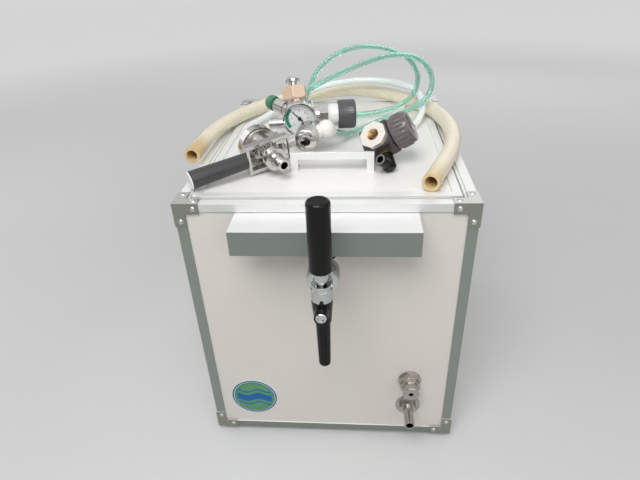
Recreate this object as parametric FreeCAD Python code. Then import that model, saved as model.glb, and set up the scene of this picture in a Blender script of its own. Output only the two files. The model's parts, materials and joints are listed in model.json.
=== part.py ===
import FreeCAD, Part
import math
import os
from FreeCAD import Vector, Placement, Rotation

# Ice-cooled beer server: an insulated box with a coil in it, a tap on its front, and the keg
# fittings that are stored on its lid. Millimetres. +Z is up, the tap looks along -Y, X runs to the
# right. The origin is on the ground, under the middle of the object's length and width.

# ---------------------------------------------------------------- driving dimensions: the box
CAB_W = 340.0             # over the corner rails
CAB_D = 408.0
CAB_H = 373.6             # underside of the bottom rails to the top of the top rails
FOOT_H = 10.0
FOOT_R = 12.0
FOOT_INSET = 32.0
POST_LEG = 12.3           # face width of the upright rails
RAIL_LEG = 10.1           # face height of the top and bottom rails
RAIL_TOP = 11.0           # how far a rail reaches in over the top
ANGLE_T = 1.6             # wall of the angle rails
PANEL_T = 3.0
FOAM_T = 22.0
FOAM_FLOOR = 42.0
LINER_T = 1.2
LID_SEAT = 10.0           # depth of the ledge that the lid sits on
LEDGE_W = 13.3            # width of that ledge
RIM_W = 3.0               # liner rim that lies under the top rails
BRACKET_ARM = 29.0
BRACKET_T = 1.2
RIVET_R = 3.2
RIVET_H = 1.2

# ---------------------------------------------------------------- driving dimensions: the lid
LID_GAP_SIDE = 3.5
LID_GAP_END = 0.8
LID_PROUD = 2.0
LID_BAND = 10.0
PLUG_GAP = 2.5
PLUG_DEPTH = 30.0         # how far the plug reaches below the ledge
HANDLE_X = 5.5
HANDLE_Y = 88.0           # behind the front face
HANDLE_W = 103.0
HANDLE_H = 25.0
HANDLE_BAR = 9.0
HANDLE_T = 4.0
HANDLE_FOOT = 16.0
HANDLE_FOOT_T = 2.0
SCREW_R = 3.5
SCREW_H = 1.6

# ---------------------------------------------------------------- driving dimensions: the front
SHELF_X0 = -100.0
SHELF_X1 = 104.5
SHELF_DEEP = 43.0
SHELF_LIP = 29.4
SHELF_T = 2.0
SHELF_DROP = 0.8          # below the top rail
SHELF_TAB = 20.0
BADGE_INSET = 60.0        # its middle, from the left side
BADGE_Z = 62.6
BADGE_W = 65.0
BADGE_H = 65.0
BADGE_T = 0.8

# ---------------------------------------------------------------- driving dimensions: the tap
TAP_X = 1.0
TAP_DROP = 60.0           # bore centre below the top of the box
TAP_AXIS_Y = 75.0         # tap's upright axis, in front of the box
SHANK_R = 8.0
SHANK_BORE_R = 4.06
SHANK_TAIL = 12.0         # inside the liner
FLANGE_R = 14.0
FLANGE_T = 3.0
BACKNUT_AF = 24.0
BACKNUT_T = 6.0
COUPLING_R = 17.5
COUPLING_FRONT = 62.0
COUPLING_REAR = 38.0
COUPLING_WALL = 2.5
TAP_NECK_R = 10.0
TAP_BODY_R = 11.5
TAP_TOP = 3.0             # top of the body above the bore centre
TAP_WAIST = 10.5          # bottom of the chrome body below the bore centre
TAP_SPIGOT_R = 8.0
TAP_SPIGOT_H = 18.0
TAP_HEAD_R = 8.0
TAP_HEAD = 3.6            # top of the bonnet's seat above the bore centre
OUTLET_R = 4.0
BONNET_R = 10.4
BONNET_H = 5.4
BALL_R = 4.0
PIVOT_UP = 7.2  # lever pivot above the bore centre
FINGER_R = 1.2
LEVER_NECK_R = 2.0
SEAT_UP = 6.0             # lever collar above the pivot
SEAT_R0 = 7.0
SEAT_R1 = 8.6
SEAT_H = 10.6
GRIP_LEN = 79.4
GRIP_R0 = 11.8
GRIP_R1 = 12.0
GRIP_ROUND = 4.0          # radius of the grip's top edge
STEM_R = 2.4
SPOOL_R = 5.5
SPOOL_T = 2.6
NOZZLE_R = 11.5
NOZZLE_BAND = 3.0         # straight top of the collar
NOZZLE_NECK = 30.0        # foot of the collar's cone
NOZZLE_NECK_R = 9.3
NOZZLE_R1 = 7.9
NOZZLE_R2 = 6.6
NOZZLE_LEN = 93.0
NOZZLE_ROUND = 2.0        # radius of the tip's outer edge
SPOUT_BORE = 3.8
FLUTES = 12
FLUTE_R = 0.7
FOAM_DROP = 21.0          # foam screw below the bore centre
FOAM_STUB_R = 3.4
FOAM_KNOB_R = 6.1
FOAM_KNOB_T = 3.0
FOAM_BOSS_R = 7.4
FOAM_PROUD = 0.5          # knob's face in front of its boss
TAP_REACH = 97.0          # front of the foam screw, in front of the box
RUN_FIT = 0.06            # radial clearance of a running fit
CLEAR = 0.3               # clearance where nothing runs

# ---------------------------------------------------------------- driving dimensions: the ports
PORT_INSET = 62.2         # the ports' middle, from the right side
INLET_Z = 105.0
INLET_FLANGE_R = 15.3
INLET_NUT_AF = 25.5
INLET_NUT_T = 8.0
INLET_HEX_AF = 23.5
INLET_HEX_T = 6.0
INLET_R = 10.6
INLET_LEN = 27.0
INLET_BORE = 3.0
WALL_TUBE_R = 6.0
DRAIN_Z = 56.0
DRAIN_FLANGE_R = 17.0
DRAIN_NUT_AF = 20.0
DRAIN_NUT_T = 7.0
DRAIN_R = 6.5
DRAIN_WALL_R = 6.9        # where it passes through the wall
DRAIN_BORE = 5.0
DRAIN_LEN = 37.0
DRAIN_COLLAR = 1.2        # width and thickness of the collar inside the wall
WASHER_T = 2.0
COIL_TUBE_R = 4.0
COIL_BORE_R = 3.2
COIL_TURNS = 7.5
COIL_FACETS = 24          # straight lengths in one turn
COIL_BEND = 30.0
COIL_BACK = 156.2         # its axis, behind the front wall
COIL_START = 8.0          # inlet's end inside the wall

# ---------------------------------------------------------------- driving dimensions: keg coupler
COUPLER_X = -89.0
COUPLER_Y = 111.9  # behind the front face
COUPLER_TURN = 35.0
COUPLER_ROLL = 5.6
COUPLER_NOD = 3.0         # the outlet points down a little
RING_R = 25.0
RING_BORE = 18.0
RING_T = 12.0
NECK_R = 15.0
NECK_TOP = 21.0
PROBE_R = 9.5
PROBE_CORE = 6.5
PROBE_BORE = 4.6
LEVER_UP = 29.0  # lever plane above the ring's middle
LEVER_ARM = 20.0          # pin to probe
YOKE_IN = 14.0
YOKE_WALL = 4.0
YOKE_DEEP = 10.0
YOKE_LEFT = 30.0
YOKE_RIGHT = 27.0
PIN_R = 2.5
EAR_IN = 9.0
EAR_OUT = 13.0
SPOUT_R = 14.0
SPOUT_Z0 = 40.0
SPOUT_Z1 = 52.0
SPOUT_END = 71.0
SPOUT_TIP_R = 7.8
GRIP2_LEN = 72.0
GRIP2_R0 = 10.0
GRIP2_R1 = 10.9
GAS_UP = 18.5
GAS_R = 7.5
GAS_END = 56.0
GAS_NUT_AF = 26.0
GAS_NUT_X = 50.0
GAS_NUT_T = 22.0
CHECK_X = 90.0
CHECK_R = 12.0
CHECK_TAIL = 17.0

# ---------------------------------------------------------------- driving dimensions: regulator
REG_X = -41.0
REG_Y = 192.0
REG_UP = 37.5  # above the top of the box
REG_TURN = 7.0
REG_BLOCK = 34.0
REG_NECK_R = 12.0
REG_NECK = 24.0
REG_NUT_AF = 25.0
REG_NUT_END = 36.0
BONNET2_R = 15.0
BONNET2_END = 50.0
KNOB_R = 19.5
KNOB_LEN = 24.0
GAUGE_X = -3.0
GAUGE_UP = 9.0
GAUGE_R = 22.4
GAUGE_DEEP = 18.0
GAUGE_STEM = 26.0
GAUGE_STEM_R = 6.0
GAUGE_LIP = 2.0
LENS_T = 1.5
DIAL_T = 0.8
NEEDLE_LEN = 14.0
NEEDLE_TAIL = 5.0
NEEDLE_T = 0.6
INLET_ROOT = -5.0
INLET_LEAN_X = -0.1  # direction of the cylinder inlet
INLET_LEAN_Y = 0.375
INLET_LEAN_Z = 0.92
CYL_NUT_AF = 31.0
CYL_NUT_Z0 = 21.0
CYL_NUT_Z1 = 40.5
CYL_NUT_BORE = 10.5
NIPPLE_R = 5.5
NIPPLE_CAP_Z = 46.5
NIPPLE_CAP_R = 9.5
NIPPLE_END = 53.0
INLET_HEAD_R = 13.4
DOME_R = 10.5
DOME_SEAT = 45.0          # end of the relief stem that the green dome sits on
DOME_LEN = 62.0
RELIEF_STEM_R = 8.0
PLUG2_R = 7.0
PLUG2_LEN = 46.0
RELIEF_R = 8.0
GAS_OUT_R = 6.5
GAS_OUT_LEN = 34.0

# ---------------------------------------------------------------- driving dimensions: mini regulator
MINI_X = 64.8
MINI_Y = 111.6
MINI_UP = 29.1
MINI_KNOB_X = 0.851       # where the knob points
MINI_KNOB_Y = -0.101
MINI_KNOB_Z = 0.515
MINI_PORT_X = -0.463      # where the port points
MINI_PORT_Y = -0.600
MINI_PORT_Z = 0.646
MINI_K = 38.0
MINI_P = 32.0
MINI_U = 34.0
MINI_PORT_AF = 32.0
MINI_PORT_T = 6.0
MINI_PORT_R = 7.4
MINI_PORT_DEEP = 14.0
MINI_KNOB_R = 21.5
MINI_KNOB_LEN = 23.0
MINI_NECK_R = 15.0
MINI_NECK = 3.0
BANJO_AF = 13.0
BANJO_T = 4.5
BANJO_R = 3.5
BANJO_X = 1.5
ELBOW_R = 8.5
ELBOW_H = 21.0
ELBOW_REACH = 20.0
ELBOW_BORE = 4.06

# ---------------------------------------------------------------- driving dimensions: hoses
GREEN_R = 4.0
MILKY_R = 5.0
BRAID_R = 10.5

# ---------------------------------------------------------------- places worked out from them
REAR_REACH = BRACKET_T + RIVET_H
FRONT = (TAP_REACH - CAB_D - REAR_REACH) / 2     # y of the front face
BACK = FRONT + CAB_D
BASE = FOOT_H                                    # z of the bottom rails' underside
TOP = BASE + CAB_H
HALF = CAB_W / 2
SKIN = ANGLE_T + PANEL_T                         # rail and panel
WALL = SKIN + FOAM_T + LINER_T                   # whole wall
WELL_X = HALF - WALL
WELL_Y0 = FRONT + WALL
WELL_Y1 = BACK - WALL
FLOOR = BASE + SKIN + FOAM_FLOOR + LINER_T
LEDGE_Z = TOP - LID_SEAT
LEDGE_X = WELL_X + LEDGE_W
LEDGE_Y0 = WELL_Y0 - LEDGE_W
LEDGE_Y1 = WELL_Y1 + LEDGE_W
LID_X = LEDGE_X - LID_GAP_SIDE
LID_Y0 = LEDGE_Y0 + LID_GAP_END
LID_Y1 = LEDGE_Y1 - LID_GAP_END
LID_TOP = TOP + LID_PROUD
LID_SKIN = LID_TOP - ANGLE_T                     # top of the white lid panel
TAP_Z = TOP - TAP_DROP
TAP_Y = FRONT - TAP_AXIS_Y
PORT_X = HALF - PORT_INSET
INLET_H = BASE + INLET_Z
DRAIN_H = BASE + DRAIN_Z
COIL_Y = WELL_Y0 + COIL_BACK

X = Vector(1, 0, 0)
Y = Vector(0, 1, 0)
Z = Vector(0, 0, 1)
ORIGIN = Vector(0, 0, 0)


# ---------------------------------------------------------------- shapes
def box(x0, x1, y0, y1, z0, z1):
    return Part.makeBox(x1 - x0, y1 - y0, z1 - z0, Vector(x0, y0, z0))


def rod(base, axis, radius, length):
    return Part.makeCylinder(radius, length, base, axis)


def tube(base, axis, outer, inner, length):
    return rod(base, axis, outer, length).cut(rod(base, axis, inner, length))


def cone(base, axis, radius0, radius1, length):
    return Part.makeCone(radius0, radius1, length, base, axis)


def hexagon(base, axis, flats, length, sides=6, turn=0.0):
    """A bar with flat sides; flats is the distance between two of them."""
    radius = flats / 2 / math.cos(math.pi / sides)
    step = 2 * math.pi / sides
    corners = [Vector(radius * math.cos(turn + i * step), radius * math.sin(turn + i * step), 0)
               for i in range(sides + 1)]
    corners[-1] = corners[0]
    bar = Part.Face(Part.makePolygon(corners)).extrude(Vector(0, 0, length))
    bar.Placement = Placement(base, Rotation(Z, axis))
    return bar


def turned(profile, base, axis):
    """A solid of revolution about axis; profile holds (radius, height) pairs."""
    points = [Vector(radius, 0, height) for radius, height in profile]
    face = Part.Face(Part.makePolygon(points + [points[0]]))
    body = face.revolve(ORIGIN, Z, 360)
    body.Placement = Placement(base, Rotation(Z, axis))
    return body


def join(first, *others):
    shape = first.multiFuse(list(others)).removeSplitter()
    return shape.Solids[0] if len(shape.Solids) == 1 else shape


def group(shapes):
    return Part.makeCompound(list(shapes))


def carried(shape, frame):
    """The shape, moved from a fitting's own frame to its place."""
    moved = shape.copy()
    moved.Placement = frame.multiply(moved.Placement)
    return moved


def save(name, shape):
    shape.exportStep("parts/" + name + ".step")


# ---------------------------------------------------------------- the box's frame and walls
def rail_ring(half_x, y0, y1, z_face, up, leg_in, leg_down):
    """Four mitred angle rails round a rectangle; z_face is the outer face, up is +1 or -1."""
    z0, z1 = sorted((z_face, z_face - up * leg_down))
    w0, w1 = sorted((z_face - up * ANGLE_T, z_face - up * leg_down * 2))
    ring = box(-half_x, half_x, y0, y1, z0, z1)
    ring = ring.cut(box(-half_x + ANGLE_T, half_x - ANGLE_T, y0 + ANGLE_T, y1 - ANGLE_T, w0, w1))
    ring = ring.cut(box(-half_x + leg_in, half_x - leg_in, y0 + leg_in, y1 - leg_in, z0 - 1, z1 + 1))
    reach = 2 * leg_in
    bars = []
    for corners in (
            [(-half_x, y0), (half_x, y0), (half_x - reach, y0 + reach), (-half_x + reach, y0 + reach)],
            [(-half_x, y1), (half_x, y1), (half_x - reach, y1 - reach), (-half_x + reach, y1 - reach)],
            [(-half_x, y0), (-half_x, y1), (-half_x + reach, y1 - reach), (-half_x + reach, y0 + reach)],
            [(half_x, y0), (half_x, y1), (half_x - reach, y1 - reach), (half_x - reach, y0 + reach)]):
        points = [Vector(px, py, z0 - 1) for px, py in corners]
        wedge = Part.Face(Part.makePolygon(points + [points[0]])).extrude(Vector(0, 0, z1 - z0 + 2))
        bars.extend(ring.common(wedge).Solids)
    return bars


def frame_rails():
    top = rail_ring(HALF, FRONT, BACK, TOP, 1, RAIL_TOP, RAIL_LEG)
    bottom = rail_ring(HALF, FRONT, BACK, BASE, -1, RAIL_TOP, RAIL_LEG)
    return group(top + bottom)


def frame_uprights():
    posts = []
    z0 = BASE + RAIL_LEG
    z1 = TOP - RAIL_LEG
    for side in (-1, 1):
        for y_face, inward in ((FRONT, 1), (BACK, -1)):
            x0, x1 = sorted((side * HALF, side * (HALF - POST_LEG)))
            y0, y1 = sorted((y_face, y_face + inward * POST_LEG))
            post = box(x0, x1, y0, y1, z0, z1)
            c0, c1 = sorted((side * (HALF - ANGLE_T), side * (HALF - 2 * POST_LEG)))
            d0, d1 = sorted((y_face + inward * ANGLE_T, y_face + inward * 2 * POST_LEG))
            posts.append(post.cut(box(c0, c1, d0, d1, z0, z1)))
    return group(posts)


def corner_bracket():
    """One pressed corner at the origin, with the box in the positive octant."""
    arm, leg, t = BRACKET_ARM, POST_LEG, BRACKET_T
    plates = [box(-t, 0, -t, arm, -t, leg), box(-t, 0, -t, leg, -t, arm),
              box(-t, arm, -t, 0, -t, leg), box(-t, leg, -t, 0, -t, arm),
              box(-t, arm, -t, leg, -t, 0), box(-t, leg, -t, arm, -t, 0)]
    return join(*plates)


def rivet_heads():
    """Six domed heads on one corner, two on each face."""
    near, far, t = POST_LEG / 2, BRACKET_ARM - 6.5, BRACKET_T
    heads = []
    for place, out in (((-t, far, near), -X), ((-t, near, far), -X), ((far, -t, near), -Y),
                       ((near, -t, far), -Y), ((far, near, -t), -Z), ((near, far, -t), -Z)):
        dome = [(0, 0), (RIVET_R, 0), (RIVET_R * 0.8, RIVET_H * 0.6), (RIVET_R * 0.45, RIVET_H),
                (0, RIVET_H)]
        heads.append(turned(dome, Vector(*place), out))
    return group(heads)


def at_corners(shape):
    """The shape at all eight corners of the box, mirrored to suit."""
    copies = []
    for mirror_x in (False, True):
        for mirror_y in (False, True):
            for mirror_z in (False, True):
                copy = shape.copy()
                if mirror_x:
                    copy = copy.mirror(ORIGIN, X)
                if mirror_y:
                    copy = copy.mirror(ORIGIN, Y)
                if mirror_z:
                    copy = copy.mirror(ORIGIN, Z)
                copy.translate(Vector(HALF if mirror_x else -HALF, BACK if mirror_y else FRONT,
                                      TOP if mirror_z else BASE))
                copies.extend(copy.Solids)
    return group(copies)


def wall_holes(y0, y1):
    """Clearance holes through the front wall for the tap, the inlet and the drain."""
    return [rod(Vector(TAP_X, y0, TAP_Z), Y, SHANK_R + CLEAR, y1 - y0),
            rod(Vector(PORT_X, y0, INLET_H), Y, WALL_TUBE_R + CLEAR, y1 - y0),
            rod(Vector(PORT_X, y0, DRAIN_H), Y, DRAIN_WALL_R + CLEAR, y1 - y0)]


def front_panel():
    y0 = FRONT + ANGLE_T
    panel = box(-HALF + ANGLE_T, HALF - ANGLE_T, y0, y0 + PANEL_T, BASE + ANGLE_T, TOP - ANGLE_T)
    return panel.cut(group(wall_holes(y0 - 1, y0 + PANEL_T + 1)))


def back_panel():
    y1 = BACK - ANGLE_T
    return box(-HALF + ANGLE_T, HALF - ANGLE_T, y1 - PANEL_T, y1, BASE + ANGLE_T, TOP - ANGLE_T)


def side_panels():
    y0, y1 = FRONT + SKIN, BACK - SKIN
    return group(box(min(a, b), max(a, b), y0, y1, BASE + ANGLE_T, TOP - ANGLE_T)
                 for a, b in ((-HALF + ANGLE_T, -HALF + SKIN), (HALF - SKIN, HALF - ANGLE_T)))


def bottom_panel():
    return box(-HALF + SKIN, HALF - SKIN, FRONT + SKIN, BACK - SKIN, BASE + ANGLE_T, BASE + SKIN)


def liner_levels():
    """Each level of the tub's walls: its heights, its inside, and how thick it is."""
    rim_z = TOP - ANGLE_T - LINER_T
    well = (WELL_X, WELL_Y0, WELL_Y1)
    ledge = (LEDGE_X, LEDGE_Y0, LEDGE_Y1)
    return [(FLOOR, LEDGE_Z - LINER_T, well, LINER_T),
            (LEDGE_Z - LINER_T, LEDGE_Z, well, LEDGE_W + LINER_T),
            (LEDGE_Z, rim_z, ledge, LINER_T),
            (rim_z, TOP - ANGLE_T, ledge, RIM_W)]


def liner_outside():
    t = LINER_T
    tub = [box(-WELL_X - t, WELL_X + t, WELL_Y0 - t, WELL_Y1 + t, FLOOR - t, FLOOR)]
    for z0, z1, (x, y0, y1), wall in liner_levels():
        tub.append(box(-x - wall, x + wall, y0 - wall, y1 + wall, z0, z1))
    return join(*tub)


def ice_liner():
    """The tub as flat plates: a floor, then four bars for each level of its walls."""
    t = LINER_T
    plates = [box(-WELL_X - t, WELL_X + t, WELL_Y0 - t, WELL_Y1 + t, FLOOR - t, FLOOR)]
    for z0, z1, (x, y0, y1), wall in liner_levels():
        front = box(-x - wall, x + wall, y0 - wall, y0, z0, z1)
        plates += [front.cut(group(wall_holes(y0 - wall - 1, y0 + 1))),
                   box(-x - wall, x + wall, y1, y1 + wall, z0, z1),
                   box(-x - wall, -x, y0, y1, z0, z1), box(x, x + wall, y0, y1, z0, z1)]
    return group(solid for plate in plates for solid in plate.Solids)


def insulation():
    foam = box(-HALF + SKIN, HALF - SKIN, FRONT + SKIN, BACK - SKIN, BASE + SKIN, TOP - ANGLE_T)
    foam = foam.cut(liner_outside())
    return foam.cut(group(wall_holes(FRONT, WELL_Y0 + 1)))


def feet():
    shapes = []
    for x in (-HALF + FOOT_INSET, HALF - FOOT_INSET):
        for y in (FRONT + FOOT_INSET, BACK - FOOT_INSET):
            shapes.append(turned([(0, 0), (FOOT_R - 2, 0), (FOOT_R - 1, 1), (FOOT_R, FOOT_H - 2),
                                  (FOOT_R, BASE + ANGLE_T), (0, BASE + ANGLE_T)], Vector(x, y, 0), Z))
    return group(shapes)


# ---------------------------------------------------------------- on the front
def shelf():
    z1 = TOP - RAIL_LEG - SHELF_DROP
    y1 = FRONT
    top = box(SHELF_X0, SHELF_X1, y1 - SHELF_DEEP, y1, z1 - SHELF_T, z1)
    lip = box(SHELF_X0, SHELF_X1, y1 - SHELF_DEEP, y1 - SHELF_DEEP + SHELF_T, z1 - SHELF_LIP, z1)
    tab = box(SHELF_X0, SHELF_X1, y1, y1 + ANGLE_T, z1 - SHELF_TAB, z1)
    return join(top, lip, tab)


def shelf_screws():
    z = TOP - RAIL_LEG - SHELF_DROP - SHELF_TAB / 2 - SHELF_T / 2
    return group(turned([(0, 0), (SCREW_R, 0), (SCREW_R * 0.8, SCREW_H * 0.7), (0, SCREW_H)],
                        Vector(x, FRONT, z), -Y)
                 for x in (SHELF_X0 + 15, TAP_X - 40, TAP_X + 40, SHELF_X1 - 15))


def badge():
    ellipse = Part.Ellipse(ORIGIN, BADGE_W / 2, BADGE_H / 2).toShape()
    plate = Part.Face(Part.Wire(ellipse)).extrude(Vector(0, 0, BADGE_T))
    middle = Vector(BADGE_INSET - HALF, FRONT + ANGLE_T, BASE + BADGE_Z)
    plate.Placement = Placement(middle, Rotation(X, 90))
    return plate


# ---------------------------------------------------------------- the tap
def tap_shank():
    start = FRONT - COUPLING_REAR - 18
    end = WELL_Y0 + SHANK_TAIL
    bar = rod(Vector(TAP_X, start, TAP_Z), Y, SHANK_R, end - start)
    head = rod(Vector(TAP_X, start, TAP_Z), Y, COUPLING_R - COUPLING_WALL - 1, 4)
    bore = rod(Vector(TAP_X, start - 1, TAP_Z), Y, SHANK_BORE_R, end - start + 2)
    mouth = rod(Vector(TAP_X, start - 1, TAP_Z), Y, SPOOL_R + 0.7, 9)
    return join(bar, head).cut(bore).cut(mouth)


def shank_flange():
    return tube(Vector(TAP_X, FRONT + ANGLE_T - FLANGE_T, TAP_Z), Y, FLANGE_R, SHANK_R, FLANGE_T)


def shank_backnut():
    nut = hexagon(Vector(TAP_X, WELL_Y0, TAP_Z), Y, BACKNUT_AF, BACKNUT_T)
    return nut.cut(rod(Vector(TAP_X, WELL_Y0 - 1, TAP_Z), Y, SHANK_R, BACKNUT_T + 2))


def coupling_nut():
    y0 = FRONT - COUPLING_FRONT
    length = COUPLING_FRONT - COUPLING_REAR
    nut = rod(Vector(TAP_X, y0, TAP_Z), Y, COUPLING_R, length)
    room = rod(Vector(TAP_X, y0 + 2, TAP_Z), Y, COUPLING_R - COUPLING_WALL, 12)
    front = rod(Vector(TAP_X, y0 - 1, TAP_Z), Y, TAP_NECK_R + CLEAR, 4)
    rear = rod(Vector(TAP_X, y0, TAP_Z), Y, SHANK_R + CLEAR, length + 1)
    return nut.cut(room).cut(front).cut(rear)


def tap_body():
    back = FRONT - COUPLING_REAR - 18            # meets the shank's face
    axis = Vector(TAP_X, TAP_Y, TAP_Z)
    column = rod(axis - Z * TAP_WAIST, Z, TAP_BODY_R, TAP_WAIST + TAP_TOP)
    head = rod(axis, Z, TAP_HEAD_R, TAP_HEAD)
    spigot = rod(axis - Z * (TAP_WAIST + TAP_SPIGOT_H), Z, TAP_SPIGOT_R, TAP_SPIGOT_H)
    neck = rod(axis + Y * 3, Y, TAP_NECK_R, back - TAP_Y - 3)
    flange = rod(Vector(TAP_X, back - 3.5, TAP_Z), Y, COUPLING_R - COUPLING_WALL - 1, 3.5)
    cap = tube(axis + Z * TAP_TOP, Z, 2 * BONNET_R, TAP_HEAD_R, 20)
    cap = cap.common(box(TAP_X - 30, TAP_X + 30, TAP_Y - 30, TAP_Y + BONNET_R + 1, TAP_Z, TAP_Z + 30))
    room = rod(axis + Z * TAP_HEAD, Z, BONNET_R + CLEAR, 20)
    body = join(column, head, spigot, neck.cut(cap).cut(room), flange)
    below = TAP_WAIST + TAP_SPIGOT_H + 1
    for tool in (
            rod(axis - Y * 9.5, Y, STEM_R + RUN_FIT, back - TAP_Y + 10.5),
            rod(Vector(TAP_X, back - SPOOL_T - 3.5, TAP_Z), Y, SPOOL_R + RUN_FIT, SPOOL_T + 4),
            rod(axis, Y, SPOOL_R - 1, back - TAP_Y - SPOOL_T),
            rod(axis - Z * below, Z, OUTLET_R, below),
            Part.makeSphere(BALL_R + RUN_FIT, axis + Z * PIVOT_UP),
            box(TAP_X - FINGER_R - CLEAR, TAP_X + FINGER_R + CLEAR, TAP_Y - 4.8, TAP_Y + 4.8, TAP_Z,
                TAP_Z + TAP_HEAD + 1),
            rod(Vector(TAP_X, TAP_Y - TAP_SPIGOT_R - 1, TAP_Z - FOAM_DROP), Y, FOAM_STUB_R + RUN_FIT,
                8)):
        body = body.cut(tool)
    return body


def tap_bonnet():
    base = Vector(TAP_X, TAP_Y, TAP_Z + TAP_TOP)
    ring = rod(base, Z, BONNET_R, BONNET_H)
    ring = ring.cut(rod(base - Z, Z, TAP_HEAD_R, TAP_HEAD - TAP_TOP + 1))
    ring = ring.cut(rod(base, Z, BALL_R + RUN_FIT, PIVOT_UP - TAP_TOP))
    return ring.cut(Part.makeSphere(BALL_R + RUN_FIT, Vector(TAP_X, TAP_Y, TAP_Z + PIVOT_UP)))


def lever_stem():
    pivot = Vector(TAP_X, TAP_Y, TAP_Z + PIVOT_UP)
    ball = Part.makeSphere(BALL_R, pivot)
    finger = rod(pivot - Z * (PIVOT_UP + 2), Z, FINGER_R, PIVOT_UP + 2)
    neck = rod(pivot, Z, LEVER_NECK_R, SEAT_UP + 1)
    seat = cone(pivot + Z * SEAT_UP, Z, SEAT_R0, SEAT_R1, SEAT_H)
    stud = rod(pivot + Z * (SEAT_UP + SEAT_H), Z, 3.0, 14)
    return join(ball, finger, neck, seat, stud)


def round_end(shape, centre, radius):
    """Round the outermost edge of a turned shape's end face, whose middle is at centre."""
    rims = [edge for edge in shape.Edges if isinstance(edge.Curve, Part.Circle)
            and (edge.Curve.Center - centre).Length < 1e-6]
    return shape.makeFillet(radius, [max(rims, key=lambda edge: edge.Curve.Radius)])


def tap_grip():
    base = Vector(TAP_X, TAP_Y, TAP_Z + PIVOT_UP + SEAT_UP + SEAT_H)
    grip = turned([(0, 0), (GRIP_R0 - 1.5, 0), (GRIP_R0, 1.5), (GRIP_R1, GRIP_LEN), (0, GRIP_LEN)],
                  base, Z)
    grip = round_end(grip, base + Z * GRIP_LEN, GRIP_ROUND)
    return grip.cut(rod(base - Z, Z, 3.0, 16))


def tap_stem():
    back = FRONT - COUPLING_REAR - 18
    start = Vector(TAP_X, TAP_Y - 7, TAP_Z)
    stem = rod(start, Y, STEM_R, back - start.y - 1)
    spool = rod(Vector(TAP_X, back - SPOOL_T - 0.5, TAP_Z), Y, SPOOL_R, SPOOL_T)
    slot = box(TAP_X - FINGER_R - CLEAR, TAP_X + FINGER_R + CLEAR, TAP_Y - 2.8, TAP_Y + 2.8,
               TAP_Z - STEM_R - 1, TAP_Z + STEM_R + 1)
    return join(stem, spool).cut(slot)


def tap_nozzle():
    top = Vector(TAP_X, TAP_Y, TAP_Z - TAP_WAIST)
    shoulder = NOZZLE_NECK + 2
    body = turned([(0, 0), (NOZZLE_R, 0), (NOZZLE_R, NOZZLE_BAND), (NOZZLE_NECK_R, NOZZLE_NECK),
                   (NOZZLE_R1, shoulder), (NOZZLE_R2, NOZZLE_LEN), (0, NOZZLE_LEN)], top, -Z)
    body = round_end(body, top - Z * NOZZLE_LEN, NOZZLE_ROUND)
    face = Vector(TAP_X, FRONT - TAP_REACH + FOAM_PROUD, TAP_Z - FOAM_DROP)
    body = join(body, rod(face, Y, FOAM_BOSS_R, TAP_Y - face.y))
    room = rod(top, -Z, TAP_SPIGOT_R, TAP_SPIGOT_H)
    bore = rod(top, -Z, SPOUT_BORE, NOZZLE_LEN + 1)
    port = rod(face - Y, Y, FOAM_STUB_R + CLEAR, TAP_Y - face.y)
    seat = rod(face - Y, Y, FOAM_KNOB_R + CLEAR, 1 + FOAM_KNOB_T - FOAM_PROUD + CLEAR)
    body = body.cut(room).cut(bore).cut(port).cut(seat)
    grooves = []
    for i in range(FLUTES):
        angle = 2 * math.pi * (i + 0.5) / FLUTES
        high = Vector(math.cos(angle) * NOZZLE_R1, math.sin(angle) * NOZZLE_R1, -shoulder - 2)
        low = Vector(math.cos(angle) * NOZZLE_R2, math.sin(angle) * NOZZLE_R2, -NOZZLE_LEN + 4)
        grooves.append(rod(top + high, low - high, FLUTE_R, (low - high).Length))
    return body.cut(group(grooves))


def foam_screw():
    z = TAP_Z - FOAM_DROP
    tip = Vector(TAP_X, FRONT - TAP_REACH, z)
    stub_end = TAP_Y - OUTLET_R - 1
    stub = rod(tip + Y * FOAM_KNOB_T, Y, FOAM_STUB_R, stub_end - tip.y - FOAM_KNOB_T)
    knob = turned([(0, 0), (FOAM_KNOB_R - 0.8, 0), (FOAM_KNOB_R, 0.8), (FOAM_KNOB_R, FOAM_KNOB_T),
                   (0, FOAM_KNOB_T)], tip, Y)
    dimple = rod(tip - Y, Y, FOAM_KNOB_R * 0.55, 1 + FOAM_KNOB_T / 2)
    return join(knob.cut(dimple), stub)


# ---------------------------------------------------------------- the ports and the coil
def port_washers():
    y = FRONT + ANGLE_T - WASHER_T
    return group([tube(Vector(PORT_X, y, INLET_H), Y, INLET_FLANGE_R, WALL_TUBE_R, WASHER_T),
                  tube(Vector(PORT_X, y, DRAIN_H), Y, DRAIN_FLANGE_R, DRAIN_WALL_R,
                       WASHER_T)])


def port_nuts():
    y = FRONT + ANGLE_T - WASHER_T
    inlet = hexagon(Vector(PORT_X, y - INLET_NUT_T, INLET_H), Y, INLET_NUT_AF, INLET_NUT_T, turn=0.3)
    drain = hexagon(Vector(PORT_X, y - DRAIN_NUT_T, DRAIN_H), Y, DRAIN_NUT_AF, DRAIN_NUT_T)
    return group([inlet.cut(rod(Vector(PORT_X, y - 20, INLET_H), Y, WALL_TUBE_R, 40)),
                  drain.cut(rod(Vector(PORT_X, y - 20, DRAIN_H), Y, DRAIN_WALL_R, 40))])


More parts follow.
